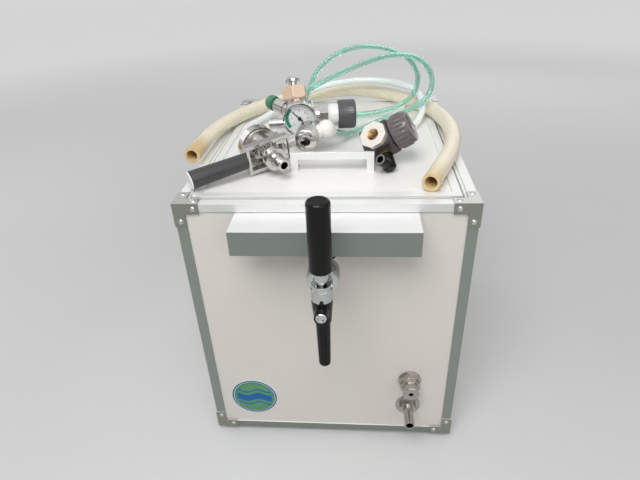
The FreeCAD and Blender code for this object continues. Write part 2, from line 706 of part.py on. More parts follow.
def inlet_fitting():
    y_nut = FRONT + ANGLE_T - WASHER_T - INLET_NUT_T
    y_end = FRONT + ANGLE_T - INLET_LEN
    hexa = hexagon(Vector(PORT_X, y_nut - INLET_HEX_T, INLET_H), Y, INLET_HEX_AF, INLET_HEX_T)
    boss = turned([(0, 0), (INLET_R - 0.8, 0), (INLET_R, 0.8), (INLET_R, y_nut - INLET_HEX_T - y_end),
                   (0, y_nut - INLET_HEX_T - y_end)], Vector(PORT_X, y_end, INLET_H), Y)
    tail = rod(Vector(PORT_X, y_nut, INLET_H), Y, WALL_TUBE_R,
               WELL_Y0 + COIL_START - y_nut)
    bore = rod(Vector(PORT_X, y_end - 1, INLET_H), Y, INLET_BORE,
               WELL_Y0 + COIL_START - y_end + 2)
    return join(hexa, boss, tail).cut(bore)


def drain_pipe():
    y_end = FRONT + ANGLE_T - DRAIN_LEN
    length = WELL_Y0 + DRAIN_COLLAR - y_end
    y_nut = FRONT + ANGLE_T - WASHER_T - DRAIN_NUT_T
    pipe = join(rod(Vector(PORT_X, y_end, DRAIN_H), Y, DRAIN_R, length),
                rod(Vector(PORT_X, y_nut, DRAIN_H), Y, DRAIN_WALL_R, WELL_Y0 - y_nut))
    collar = rod(Vector(PORT_X, WELL_Y0, DRAIN_H), Y, DRAIN_R + DRAIN_COLLAR, DRAIN_COLLAR)
    return join(pipe, collar).cut(rod(Vector(PORT_X, y_end - 1, DRAIN_H), Y, DRAIN_BORE, length + 2))


def cooling_coil():
    """A tube wound upwards from the inlet, in short straight lengths, then led to the shank."""
    steps = int(COIL_TURNS * COIL_FACETS)
    points = [Vector(PORT_X, WELL_Y0 + COIL_START, INLET_H)]
    for i in range(steps + 1):
        angle = 2 * math.pi * i / COIL_FACETS
        points.append(Vector(PORT_X * math.cos(angle), COIL_Y + PORT_X * math.sin(angle),
                             INLET_H + (TAP_Z - INLET_H) * i / steps))
    left = points[-1].x
    corner = WELL_Y0 + SHANK_TAIL + 2 * COIL_BEND
    for i in range(7):
        angle = math.pi + math.pi / 2 * i / 6
        points.append(Vector(left + COIL_BEND * (1 + math.cos(angle)),
                             corner + COIL_BEND * math.sin(angle), TAP_Z))
    for i in range(7):
        angle = math.pi / 2 - math.pi / 2 * i / 6
        points.append(Vector(TAP_X - COIL_BEND * (1 - math.cos(angle)),
                             corner - COIL_BEND * (2 - math.sin(angle)), TAP_Z))
    wire = Part.makePolygon(points)
    outside, inside = [wire.makePipeShell([Part.Wire(Part.makeCircle(radius, points[0], Y))],
                                          True, False, 1) for radius in (COIL_TUBE_R, COIL_BORE_R)]
    return outside.cut(inside).Solids[0]


# ---------------------------------------------------------------- the lid
def lid_frame():
    return group(rail_ring(LID_X, LID_Y0, LID_Y1, LID_TOP, 1, LID_BAND, LID_TOP - LEDGE_Z))


def lid_panel():
    return box(-LID_X + ANGLE_T, LID_X - ANGLE_T, LID_Y0 + ANGLE_T, LID_Y1 - ANGLE_T,
               LID_SKIN - PANEL_T, LID_SKIN)


def lid_core():
    upper = box(-LID_X + ANGLE_T, LID_X - ANGLE_T, LID_Y0 + ANGLE_T, LID_Y1 - ANGLE_T, LEDGE_Z,
                LID_SKIN - PANEL_T)
    plug = box(-WELL_X + PLUG_GAP, WELL_X - PLUG_GAP, WELL_Y0 + PLUG_GAP, WELL_Y1 - PLUG_GAP,
               LEDGE_Z - PLUG_DEPTH, LEDGE_Z)
    return join(upper, plug)


def lid_handle():
    y0 = FRONT + HANDLE_Y - HANDLE_T / 2
    x0, x1 = HANDLE_X - HANDLE_W / 2, HANDLE_X + HANDLE_W / 2
    z0, z1 = LID_SKIN, LID_SKIN + HANDLE_H
    arch = box(x0, x1, y0, y0 + HANDLE_T, z0, z1)
    arch = arch.cut(box(x0 + HANDLE_BAR, x1 - HANDLE_BAR, y0 - 1, y0 + HANDLE_T + 1, z0 - 1,
                        z1 - HANDLE_BAR))
    toes = [box(x, x + HANDLE_BAR, y0, y0 + HANDLE_T + HANDLE_FOOT, z0, z0 + HANDLE_FOOT_T)
            for x in (x0, x1 - HANDLE_BAR)]
    return join(arch, *toes)


def handle_screws():
    y = FRONT + HANDLE_Y + HANDLE_T / 2 + HANDLE_FOOT / 2
    z = LID_SKIN + HANDLE_FOOT_T
    shift = (HANDLE_W - HANDLE_BAR) / 2
    return group(turned([(0, 0), (SCREW_R, 0), (SCREW_R * 0.8, SCREW_H * 0.7), (0, SCREW_H)],
                        Vector(x, y, z), Z) for x in (HANDLE_X - shift, HANDLE_X + shift))


# ---------------------------------------------------------------- the keg coupler
# Its own frame: +Z runs from the keg side to the beer outlet, -X along the lever, Y along the pin.
def coupler_place():
    turn = Rotation(Z, COUPLER_TURN).multiply(Rotation(X, 90 + COUPLER_NOD))
    turn = turn.multiply(Rotation(Z, COUPLER_ROLL))
    rise = RING_R * math.cos(math.radians(COUPLER_NOD)) + RING_T / 2 * math.sin(math.radians(COUPLER_NOD))
    return Placement(Vector(COUPLER_X, FRONT + COUPLER_Y, LID_SKIN + 2 * CLEAR + rise), turn)


def coupler_body():
    ring = tube(-Z * (RING_T / 2), Z, RING_R, RING_BORE, RING_T)
    roof = rod(Z * (RING_T / 2 - 2), Z, RING_R - 3, 4)
    neck = rod(Z * (RING_T / 2), Z, NECK_R, NECK_TOP - RING_T / 2)
    arm = rod(Z * GAS_UP, X, GAS_R, GAS_END)
    ears = [box(NECK_R - 5, LEVER_ARM + 4.5, min(a, b), max(a, b), RING_T / 2, LEVER_UP + 4)
            for a, b in ((-EAR_OUT, -EAR_IN), (EAR_IN, EAR_OUT))]
    body = join(ring, roof, neck, arm, *ears)
    bore = rod(-Z * RING_T, Z, PROBE_R + RUN_FIT, RING_T + NECK_TOP + 1)
    gas = rod(Vector(NECK_R - 6, 0, GAS_UP), X, 3.0, GAS_END)
    pin = rod(Vector(LEVER_ARM, -EAR_OUT - 1, LEVER_UP), Y, PIN_R + RUN_FIT, 2 * EAR_OUT + 2)
    return body.cut(bore).cut(gas).cut(pin).cut(rod(Z * GAS_UP, Z, PROBE_R + RUN_FIT, 20))


def coupler_seal():
    return tube(Z * (RING_T / 2 - 5), Z, RING_BORE, PROBE_R + 2, 3)


def coupler_yoke():
    y_out = YOKE_IN + YOKE_WALL
    z0 = LEVER_UP - YOKE_DEEP / 2
    frame = box(-YOKE_LEFT, YOKE_RIGHT, -y_out, y_out, z0, z0 + YOKE_DEEP)
    frame = frame.cut(box(-YOKE_LEFT + YOKE_WALL, YOKE_RIGHT - 1.5, -YOKE_IN, YOKE_IN, z0 - 1,
                          z0 + YOKE_DEEP + 1))
    frame = frame.cut(box(YOKE_RIGHT - 2, YOKE_RIGHT + 1, -YOKE_IN, YOKE_IN, z0 - 1, LEVER_UP + 1))
    pins = [rod(Vector(0, side * YOKE_IN, LEVER_UP), Y * -side, PIN_R, YOKE_IN - PROBE_CORE - 1)
            for side in (-1, 1)]
    hinge = rod(Vector(LEVER_ARM, -YOKE_IN, LEVER_UP), Y, PIN_R, 2 * YOKE_IN)
    tang = rod(Vector(-YOKE_LEFT, 0, LEVER_UP), -X, 4.0, 30)
    return join(frame, hinge, tang, *pins)


def coupler_grip():
    base = Vector(-YOKE_LEFT, 0, LEVER_UP)
    grip = turned([(0, 0), (GRIP2_R0 - 1, 0), (GRIP2_R0, 1), (GRIP2_R1, GRIP2_LEN - 1.5),
                   (GRIP2_R1 - 1.5, GRIP2_LEN), (0, GRIP2_LEN)], base, -X)
    return grip.cut(rod(base, -X, 4.0, 30))


def coupler_probe():
    stem = rod(-Z * (RING_T / 2 + 4), Z, PROBE_R, SPOUT_Z0 + RING_T / 2 + 4)
    head = turned([(0, 0), (SPOUT_R - 2, 0), (SPOUT_R, 2), (SPOUT_R, SPOUT_Z1 - SPOUT_Z0),
                   (0, SPOUT_Z1 - SPOUT_Z0)], Z * SPOUT_Z0, Z)
    spout = turned([(0, 0), (SPOUT_TIP_R + 1.2, 0), (SPOUT_TIP_R, 5), (SPOUT_TIP_R, 18),
                    (SPOUT_TIP_R - 1, SPOUT_END - SPOUT_Z1), (0, SPOUT_END - SPOUT_Z1)],
                   Z * SPOUT_Z1, Z)
    groove = tube(Z * (LEVER_UP - 4.5), Z, PROBE_R + 2, PROBE_CORE, 9)
    bore = rod(-Z * 30, Z, PROBE_BORE, 120)
    return join(stem, head, spout).cut(groove).cut(bore)


def gas_inlet_nut():
    base = Vector(GAS_NUT_X, 0, GAS_UP)
    nut = hexagon(base, X, GAS_NUT_AF, GAS_NUT_T - 5)
    collar = rod(base, X, GAS_NUT_AF / 2 - 1, GAS_NUT_T)
    room = rod(base - X, X, GAS_R, GAS_END - GAS_NUT_X + 1)
    return join(nut, collar).cut(room).cut(rod(base, X, 5.5, 40))


def check_aim():
    """Where the gas hose leaves the ball, in the coupler's frame."""
    return coupler_place().Rotation.inverted().multVec(Vector(0.5, 0.75, -0.42)).normalize()


def check_ball():
    centre = Vector(CHECK_X, 0, GAS_UP)
    ball = Part.makeSphere(CHECK_R, centre)
    neck = rod(Vector(GAS_END, 0, GAS_UP), X, 5.2, CHECK_X - GAS_END)
    shoulder = rod(Vector(GAS_NUT_X + GAS_NUT_T, 0, GAS_UP), X, 8.5, 8)
    tail = rod(centre, check_aim(), 6.0, CHECK_TAIL)
    return join(ball, neck, shoulder, tail).cut(rod(Vector(GAS_END - 1, 0, GAS_UP), X, 2.5, 30))


# ---------------------------------------------------------------- the regulator
# Its own frame: +X towards the knob, -Y towards the gauge face.
def regulator_place():
    return Placement(Vector(REG_X, FRONT + REG_Y, TOP + REG_UP), Rotation(Z, REG_TURN))


def inlet_axis():
    return Vector(INLET_LEAN_X, INLET_LEAN_Y, INLET_LEAN_Z).normalize()


def gas_aim():
    """Where the gas hose leaves the regulator, in its own frame."""
    return Vector(0.15, 0.95, 0.25).normalize()


def dome_aim():
    """Where the relief dome points, in the regulator's own frame."""
    return Vector(-0.764, 0.587, 0.23).normalize()


def regulator_body():
    half = REG_BLOCK / 2
    block = box(-half, half, -half, half, -half, half)
    block = block.makeChamfer(3.0, block.Edges)
    neck = rod(X * half, X, REG_NECK_R, REG_NECK - half)
    nut = hexagon(X * REG_NECK, X, REG_NUT_AF, REG_NUT_END - REG_NECK)
    gauge_boss = rod(Vector(GAUGE_X, -GAUGE_STEM, GAUGE_UP), Y, GAUGE_STEM_R, GAUGE_STEM - 10)
    root = X * INLET_ROOT
    inlet_boss = rod(root, inlet_axis(), NIPPLE_R, NIPPLE_CAP_Z + 1)
    shoulder = rod(root, inlet_axis(), INLET_HEAD_R, CYL_NUT_Z0 + 3.5)
    plug = turned([(0, 10), (PLUG2_R, 10), (PLUG2_R, PLUG2_LEN - 1), (PLUG2_R - 1, PLUG2_LEN),
                   (0, PLUG2_LEN)], Vector(0, -4, -7), -X)
    leg = REG_UP - (LID_SKIN - TOP) - CLEAR
    relief = turned([(0, 10), (RELIEF_R, 10), (RELIEF_R, leg - 1), (RELIEF_R - 1, leg), (0, leg)],
                    ORIGIN, -Z)
    outlet = rod(ORIGIN, gas_aim(), GAS_OUT_R, GAS_OUT_LEN)
    stem = turned([(0, 10), (RELIEF_STEM_R, 10), (RELIEF_STEM_R, DOME_SEAT - 16),
                   (DOME_R - 1, DOME_SEAT - 15), (DOME_R - 1, DOME_SEAT), (0, DOME_SEAT)],
                  ORIGIN, dome_aim())
    cap = turned([(0, NIPPLE_CAP_Z), (NIPPLE_CAP_R, NIPPLE_CAP_Z), (NIPPLE_CAP_R, NIPPLE_END - 3),
                  (NIPPLE_CAP_R - 3, NIPPLE_END), (0, NIPPLE_END)], root, inlet_axis())
    return join(block, neck, nut, gauge_boss, inlet_boss, shoulder, plug, relief, outlet, stem,
                cap)


def relief_dome():
    profile = [(0, DOME_SEAT), (DOME_R - 2.5, DOME_SEAT), (DOME_R - 2.5, DOME_SEAT + 2.5),
               (DOME_R, DOME_SEAT + 3.5), (DOME_R, DOME_LEN - 8), (DOME_R - 1.4, DOME_LEN - 4),
               (DOME_R - 4.5, DOME_LEN - 1), (0, DOME_LEN)]
    return turned(profile, ORIGIN, dome_aim())


def regulator_bonnet():
    return turned([(REG_NECK_R - 6, REG_NUT_END), (BONNET2_R - 3, REG_NUT_END),
                   (BONNET2_R, REG_NUT_END + 4), (BONNET2_R, BONNET2_END + KNOB_LEN - 8),
                   (REG_NECK_R - 6, BONNET2_END + KNOB_LEN - 8)], ORIGIN, X)


def regulator_knob():
    knob = turned([(0, 0), (KNOB_R - 1, 0), (KNOB_R, 1), (KNOB_R, KNOB_LEN - 4), (KNOB_R - 4, KNOB_LEN),
                   (0, KNOB_LEN)], X * BONNET2_END, X)
    return knob.cut(rod(X * (BONNET2_END - 1), X, BONNET2_R + CLEAR, KNOB_LEN - 6.5))


def gauge_centre(depth):
    return Vector(GAUGE_X, -GAUGE_STEM - depth, GAUGE_UP)


def gauge_case():
    case = turned([(0, 0), (GAUGE_R - 3, 0), (GAUGE_R - 1, 2), (GAUGE_R - 1, GAUGE_DEEP - 5),
                   (GAUGE_R, GAUGE_DEEP - 4), (GAUGE_R, GAUGE_DEEP - 1), (GAUGE_R - 1, GAUGE_DEEP),
                   (0, GAUGE_DEEP)], gauge_centre(0), -Y)
    room = rod(gauge_centre(GAUGE_DEEP - 7), -Y, GAUGE_R - GAUGE_LIP - 0.6, 8)
    return case.cut(room)


def gauge_dial():
    dial = rod(gauge_centre(GAUGE_DEEP - 7), -Y, GAUGE_R - GAUGE_LIP - 0.6, DIAL_T)
    boss = rod(gauge_centre(GAUGE_DEEP - 7 + DIAL_T), -Y, 0.8, 2.6)
    return join(dial, boss)


def gauge_needle():
    base = gauge_centre(GAUGE_DEEP - 7 + DIAL_T + 1.2)
    hub = rod(base, -Y, 2.2, NEEDLE_T * 2)
    angle = math.radians(135)
    along = Vector(math.cos(angle), 0, math.sin(angle))
    across = Vector(-along.z, 0, along.x)
    tip = base + along * NEEDLE_LEN
    tail = base - along * NEEDLE_TAIL
    outline = [tip + across * 0.3, tip - across * 0.3, tail - across * 0.9, tail + across * 0.9]
    blade = Part.Face(Part.makePolygon(outline + [outline[0]])).extrude(-Y * NEEDLE_T)
    return join(hub, blade).cut(rod(base + Y, -Y, 0.8 + RUN_FIT, 6))


def gauge_lens():
    return rod(gauge_centre(GAUGE_DEEP - LENS_T - 0.8), -Y, GAUGE_R - GAUGE_LIP - 0.6, LENS_T)


def cylinder_nut():
    axis = inlet_axis()
    root = X * INLET_ROOT
    nut = hexagon(root + axis * CYL_NUT_Z0, axis, CYL_NUT_AF, CYL_NUT_Z1 - CYL_NUT_Z0, turn=0.4)
    wide = CYL_NUT_AF / 2
    nut = nut.common(turned([(0, CYL_NUT_Z0), (wide - 3, CYL_NUT_Z0), (wide + 3, CYL_NUT_Z0 + 5),
                             (wide + 3, CYL_NUT_Z1 - 3), (wide - 1, CYL_NUT_Z1), (0, CYL_NUT_Z1)],
                            root, axis))
    bore = rod(root + axis * (CYL_NUT_Z0 + 6), axis, CYL_NUT_BORE, 30)
    throat = rod(root, axis, INLET_HEAD_R + RUN_FIT, CYL_NUT_Z0 + 3.5 + CLEAR)
    return nut.cut(bore).cut(throat).cut(rod(root, axis, NIPPLE_R + CLEAR, 60))


# ---------------------------------------------------------------- the mini regulator
# Its own frame: +X towards the knob, -Y out of the port, -Z towards the elbow.
def mini_place():
    knob = Vector(MINI_KNOB_X, MINI_KNOB_Y, MINI_KNOB_Z)
    back = Vector(-MINI_PORT_X, -MINI_PORT_Y, -MINI_PORT_Z)
    turn = Rotation(knob, back, knob.cross(back), "XYZ")
    return Placement(Vector(MINI_X, FRONT + MINI_Y, TOP + MINI_UP), turn)


def mini_block():
    block = box(-MINI_K / 2, MINI_K / 2, -MINI_P / 2, MINI_P / 2, -MINI_U / 2, MINI_U / 2)
    block = block.makeChamfer(2.0, block.Edges)
    neck = rod(X * (MINI_K / 2), X, MINI_NECK_R, MINI_NECK)
    port = rod(-Y * (MINI_P / 2 + 1), Y, MINI_PORT_R + 3, MINI_PORT_DEEP)
    seat = rod(Vector(BANJO_X, 0, -MINI_U / 2 - 1), Z, BANJO_R, 9)
    return join(block, neck).cut(port).cut(seat)


def mini_port():
    face = -Y * (MINI_P / 2 + MINI_PORT_T)
    flange = hexagon(face, Y, MINI_PORT_AF, MINI_PORT_T, sides=8, turn=math.pi / 8)
    sleeve = rod(-Y * (MINI_P / 2), Y, MINI_PORT_R + 3, MINI_PORT_DEEP - 1)
    return join(flange, sleeve).cut(rod(face - Y, Y, MINI_PORT_R, MINI_PORT_DEEP + MINI_PORT_T - 2))


def mini_knob():
    start = MINI_K / 2 + 0.5
    wide, length = MINI_KNOB_R, MINI_KNOB_LEN
    knob = turned([(0, 0), (wide - 3, 0), (wide - 1, 1.5), (wide, 6), (wide, 12), (wide - 2.5, 18),
                   (wide - 7, length), (wide - 9, length), (wide - 10, length - 2), (0, length - 2)],
                  X * start, X)
    return knob.cut(rod(X * (start - 1), X, MINI_NECK_R + RUN_FIT, MINI_NECK + 1))


def banjo_bolt():
    top = Vector(BANJO_X, 0, -MINI_U / 2)
    nut = hexagon(top, -Z, BANJO_AF, BANJO_T)
    stud = rod(top + Z * 7, -Z, BANJO_R, 7 + BANJO_T + ELBOW_H - 13.5)
    return join(nut, stud)


def push_in_elbow():
    top = Vector(BANJO_X, 0, -MINI_U / 2 - BANJO_T - 0.1)
    post = turned([(0, 0), (ELBOW_R - 0.5, 0), (ELBOW_R, 1), (ELBOW_R, ELBOW_H - 3),
                   (ELBOW_R - 3, ELBOW_H), (0, ELBOW_H)], top, -Z)
    mouth = top - Z * (ELBOW_H - 7.5)
    aim = Vector(-0.12, -0.99, 0)
    arm = turned([(0, 0), (ELBOW_R - 1.5, 0), (ELBOW_R - 1.5, ELBOW_REACH - 1.5),
                  (ELBOW_R - 2.5, ELBOW_REACH), (0, ELBOW_REACH)], mouth, aim)
    stud = rod(top + Z, -Z, BANJO_R + RUN_FIT, ELBOW_H - 11.5)
    return join(post, arm).cut(rod(mouth, aim, ELBOW_BORE, 40)).cut(stud)


# ---------------------------------------------------------------- hoses
def route(points):
    """Straight runs joined by tangent arcs, as one wire."""
    edges = []
    start = points[0]
    for i in range(1, len(points) - 1):
        before, here, after = points[i - 1], points[i], points[i + 1]
        a = (before - here).normalize()
        b = (after - here).normalize()
        reach = 0.45 * min((before - here).Length, (after - here).Length)
        half = (math.pi - a.getAngle(b)) / 2
        radius = reach / math.tan(half)
        entry = here + a * reach
        leave = here + b * reach
        middle = here + (a + b).normalize() * (radius / math.cos(half) - radius)
        edges.append(Part.LineSegment(start, entry).toShape())
        edges.append(Part.Arc(entry, middle, leave).toShape())
        start = leave
    edges.append(Part.LineSegment(start, points[-1]).toShape())
    return Part.Wire(edges)


def hose(points, radius):
    wire = route(points)
    ring = Part.Wire(Part.makeCircle(radius, points[0], points[1] - points[0]))
    body = wire.makePipeShell([ring], True, False)
    return body.Solids[0]


def on_lid(triples):
    """Route points given as x, distance behind the front face, and height above the lid's top."""
    return [Vector(x, FRONT + y, LID_TOP + z) for x, y, z in triples]


BRAID_ROUTE = on_lid([
    (-178, 112, 10.8), (-176, 150, 10.8), (-174, 196, 10.8), (-163, 248, 10.8), (-140, 300, 10.8),
    (-105, 343, 12), (-60, 372, 15), (-8, 388, 18), (45, 391, 18), (95, 372, 14),
    (132, 335, 11), (155, 285, 10.8), (166, 230, 10.8), (166, 176, 10.8), (155, 124, 10.8),
    (137, 74, 10.8), (118, 26, 10.8)])
GREEN_ROUTE = on_lid([
    (-39.9, 224.7, 44.1), (-38, 250, 52), (-25, 272, 80), (7, 286, 102), (48, 296, 108),
    (89, 301, 99), (117, 303, 84), (130, 304, 56), (121, 303, 28), (94, 301, 11), (56, 299, 4.5),
    (17, 297, 2.7), (-20, 290, 4.5), (-46, 270, 15), (-56, 245, 38), (-36, 230, 62), (2, 241, 77),
    (41, 262, 89), (82, 279, 97), (118, 288, 94), (142, 289, 76), (149, 284, 48), (133, 274, 26),
    (103, 260, 18), (74, 243, 13), (48, 226, 8), (29, 204, 7), (15, 181, 12), (3.9, 160.8, 25.1)])
MILKY_ROUTE = on_lid([
    (118, 237, 3.6), (131, 262, 9), (137, 290, 23), (127, 323, 36), (98, 348, 40), (61, 362, 41),
    (22, 364, 40), (-18, 354, 36), (-52, 336, 29), (-84, 313, 17), (-110, 282, 6), (-130, 248, 3.6),
    (-134, 215, 3.6), (-118, 188, 3.6), (-91, 176, 3.6), (-64, 174, 3.6)])


def main():
    os.makedirs("parts", exist_ok=True)
    save("frame_rails", frame_rails())
    save("frame_uprights", frame_uprights())
    save("corner_brackets", at_corners(corner_bracket()))
    save("rivets", at_corners(rivet_heads()))
    save("front_panel", front_panel())
    save("back_panel", back_panel())
    save("side_panels", side_panels())
    save("bottom_panel", bottom_panel())
    save("insulation", insulation())
    save("ice_liner", ice_liner())
    save("feet", feet())
    save("shelf", shelf())
    save("shelf_screws", shelf_screws())
    save("badge", badge())
    save("tap_shank", tap_shank())
    save("shank_flange", shank_flange())
    save("shank_backnut", shank_backnut())
    save("coupling_nut", coupling_nut())
    save("tap_body", tap_body())
    save("tap_bonnet", tap_bonnet())
    save("lever_stem", lever_stem())
    save("tap_grip", tap_grip())
    save("tap_stem", tap_stem())
    save("tap_nozzle", tap_nozzle())
    save("foam_screw", foam_screw())
    save("port_washers", port_washers())
    save("port_nuts", port_nuts())
    save("inlet_fitting", inlet_fitting())
    save("drain_pipe", drain_pipe())
    save("cooling_coil", cooling_coil())
    save("lid_frame", lid_frame())
    save("lid_panel", lid_panel())
    save("lid_core", lid_core())
    save("lid_handle", lid_handle())
    save("handle_screws", handle_screws())
    for name, shape in (("coupler_body", coupler_body()), ("coupler_seal", coupler_seal()),
                        ("coupler_yoke", coupler_yoke()), ("coupler_grip", coupler_grip()),
                        ("coupler_probe", coupler_probe()), ("gas_inlet_nut", gas_inlet_nut()),
                        ("check_ball", check_ball())):
        save(name, carried(shape, coupler_place()))
    for name, shape in (("regulator_body", regulator_body()), ("relief_dome", relief_dome()),
                        ("regulator_bonnet", regulator_bonnet()), ("regulator_knob", regulator_knob()),
                        ("gauge_case", gauge_case()), ("gauge_dial", gauge_dial()),
                        ("gauge_needle", gauge_needle()), ("gauge_lens", gauge_lens()),
                        ("cylinder_nut", cylinder_nut())):
        save(name, carried(shape, regulator_place()))
    for name, shape in (("mini_block", mini_block()), ("mini_port", mini_port()),
                        ("mini_knob", mini_knob()), ("banjo_bolt", banjo_bolt()),
                        ("push_in_elbow", push_in_elbow())):
        save(name, carried(shape, mini_place()))
    save("green_hose", hose(GREEN_ROUTE, GREEN_R))
    save("milky_hose", hose(MILKY_ROUTE, MILKY_R))
    save("braided_hose", hose(BRAID_ROUTE, BRAID_R))


main()
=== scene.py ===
"""The looks of an ice-cooled beer server: its materials, marks, knurls, hoses and setting."""
import json
import math

import bmesh
import bpy
from mathutils import Matrix, Vector


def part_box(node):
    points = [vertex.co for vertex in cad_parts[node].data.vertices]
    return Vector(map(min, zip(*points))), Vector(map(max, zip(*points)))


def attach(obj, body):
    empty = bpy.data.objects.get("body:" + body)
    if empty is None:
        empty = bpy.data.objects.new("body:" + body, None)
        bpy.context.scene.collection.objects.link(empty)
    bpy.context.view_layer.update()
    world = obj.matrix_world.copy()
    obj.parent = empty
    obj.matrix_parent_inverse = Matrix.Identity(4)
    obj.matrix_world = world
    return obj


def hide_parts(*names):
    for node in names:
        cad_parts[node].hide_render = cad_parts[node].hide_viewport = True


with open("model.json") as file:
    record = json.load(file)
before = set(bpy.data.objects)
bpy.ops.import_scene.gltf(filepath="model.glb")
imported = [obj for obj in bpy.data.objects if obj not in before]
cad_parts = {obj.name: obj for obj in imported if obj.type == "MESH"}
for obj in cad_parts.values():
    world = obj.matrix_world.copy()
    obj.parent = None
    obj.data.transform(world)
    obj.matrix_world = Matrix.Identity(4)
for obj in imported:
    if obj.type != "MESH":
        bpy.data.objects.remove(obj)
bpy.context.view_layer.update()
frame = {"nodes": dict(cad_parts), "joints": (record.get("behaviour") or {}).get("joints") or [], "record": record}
NODES = frame["nodes"]
JOINTS = {joint["name"]: joint for joint in frame["joints"]}
MOUNTS = {mount["name"]: mount for mount in frame["record"]["mounts"]}

# ---------------------------------------------------------------- camera and light
CAMERA_PLACE = (0.0401, -0.6396, 0.6339)
CAMERA_YAW = -5.39        # degrees, positive to the right
CAMERA_PITCH = 31.43      # degrees, downwards
CAMERA_ROLL = -2.59
CAMERA_LENS = 28.0        # mm
CAMERA_SENSOR = 36.0      # mm
CAMERA_NEAR = 0.02        # metres
AMBIENT = 0.42
AMBIENT_COLOUR = (1.0, 0.995, 0.985)
BACKDROP = (0.66, 0.67, 0.67)
SKY = ((0.0, 0.80), (0.16, 0.78), (0.28, 0.26), (0.44, 0.30), (0.60, 0.96))   # height, grey
LAMPS = (                 # name, place, watts, size
    ("key", (-0.15, -0.80, 1.35), 12.0, 0.7),
    ("fill", (0.9, -1.2, 1.1), 3.8, 1.1),
    ("side", (-1.3, 0.6, 1.0), 2.4, 0.8),
    ("rear", (0.6, 1.9, 1.0), 2.8, 1.2),
)
LAMP_AIM = (0, 0.05, 0.25)
FLOOR_REACH = 6.0
FLOOR_COLOURS = ((0.60, 0.61, 0.61), (0.63, 0.64, 0.64))
FLOOR_ROUGH = 0.8
FLOOR_GLOW = (0.04, 0.36)          # near and far, seen by the camera alone
FLOOR_GLOW_FROM = (0.5, 3.2)       # distances from the object's middle

# ---------------------------------------------------------------- sizes, in metres
LID_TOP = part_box("lid_frame")[1].z
SHARP = 38                # degrees, the least angle of an edge that stays sharp
SHARP_HOSE = 50
LYING = (0.30, 0.85)      # how far a face looks up, from one that stands to one that lies
LIT_SHARE = 0.68        # how near to the lying faces' colour the higher standing faces come, as a painted highlight
LIT_BLEND = 0.02        # half the height over which they change
LEAST_ROUGH = 0.02
SEEP_SCALE = 0.004        # how far light spreads inside plastics
BRAID_R = 0.0105
BRAID_BORE = 0.0072
BRAID_LENGTH = 0.835
BRAID_THREADS = 12.0      # round the hose
BRAID_RATE = 210.0        # along it, per metre
BRAID_THREAD_EDGE = (0.06, 0.20)   # shares of the way from a thread to the next
BRAID_AGED_START = (0.018, 0.060)
BRAID_AGED_END = (BRAID_LENGTH - 0.05, BRAID_LENGTH)
GREEN_R = 0.0040
GREEN_BORE = 0.0026
MILKY_R = 0.0050
MILKY_BORE = 0.0034
TUBE_SIDES = 28
TURNED_SIDES = 176        # of ribbed and knurled pieces
SMALL_SIDES = 56          # of small turned pieces
HUB_SIDES = 28
INK_T = 0.00012           # thickness of printed marks

DIAL_FACE = 0.0378        # dial's face, in front of the gauge's axis
DIAL_START = 225          # degrees, where the scale begins
DIAL_SWEEP = 270          # degrees, clockwise
DIAL_STEPS = 30
DIAL_LONG = 5             # each such mark is long and numbered
DIAL_STEP_VALUE = 2       # from one number to the next
DIAL_MARK_OUT = 0.0156
DIAL_MARK_IN = 0.0142
DIAL_LONG_IN = 0.0128
DIAL_MARK_W = 0.00025
DIAL_LONG_W = 0.00045
DIAL_NUMBER_R = 0.0103
DIAL_NUMBER_H = 0.0038
DIAL_LINE = (0.0120, 0.0124, 20, 135)      # inner, outer, and its angles
DIAL_ARC = (0.0148, 0.0190, 132, 222)
NEEDLE_FRONT = 0.0402

KNOB_BACK, KNOB_FRONT, KNOB_R = 0.050, 0.074, 0.0195       # regulator's knob, on its axis
KNOB_RIBS, KNOB_RIB_DEPTH = 40, 0.00028
KNOB_SIDES = 160
MINI_BACK, MINI_FRONT, MINI_R = 0.0195, 0.0425, 0.0215     # small regulator's knob
MINI_RIBS, MINI_RIB_DEPTH = 22, 0.0016
MINI_RIM_SIDES = 72

NUT_RIBS, NUT_RIB_DEPTH = 44, 0.0007       # knurled nuts
NUT_FRONT_BORE, NUT_BACK_BORE, NUT_HOLLOW = 0.0103, 0.0083, 0.0150     # radii
NUT_FRONT_WALL, NUT_BACK_WALL = 0.002, 0.010
GAS_NUT_R = 0.0148
GAS_NUT_BORE = 0.0060
GAS_NUT_BAND = 0.62       # share of its length that is knurled
GAS_NUT_TWIST = 120.0     # radians per metre
END_DEPTH = 0.001         # of the points that count as a node's end face

THREAD_OUTER, THREAD_ROOT, THREAD_CREST = 0.00738, 0.0070, 0.0064
THREAD_PITCH, THREAD_TURNS, THREAD_START = 0.0013, 11, -0.0010

BADGE_R = 0.0325          # the shares below are of this
BADGE_SIDES = 96
BADGE_RING = (0.925, 0.99)
BADGE_FIELD = 0.905
BADGE_WAVES = ((-0.02, 0.19), (-0.40, 0.035), (0.36, 0.035))   # middle and half height
BADGE_WAVE_REACH = 0.78
BADGE_WAVE_RISE = 0.08
BADGE_WAVE_STEPS = 40
BADGE_WAVE_HALVES = 1.5   # half waves from the middle to an end
BADGE_WAVE_LEAD = 0.4     # radians
BADGE_BEADS = 32
BADGE_BEAD_RING = 0.82
BADGE_BEAD_R = 0.028
BADGE_RAISED = (INK_T * 0.5, 2 * INK_T)    # heights of its waves and beads, in metres


# ---------------------------------------------------------------- materials
def shader(name):
    made = bpy.data.materials.new(name)
    made.use_nodes = True
    tree = made.node_tree
    return made, tree, tree.nodes["Principled BSDF"]


def add(tree, kind, **values):
    """A shader node, with its properties."""
    made = tree.nodes.new("ShaderNode" + kind)
    for key, value in values.items():
        setattr(made, key, value)
    return made


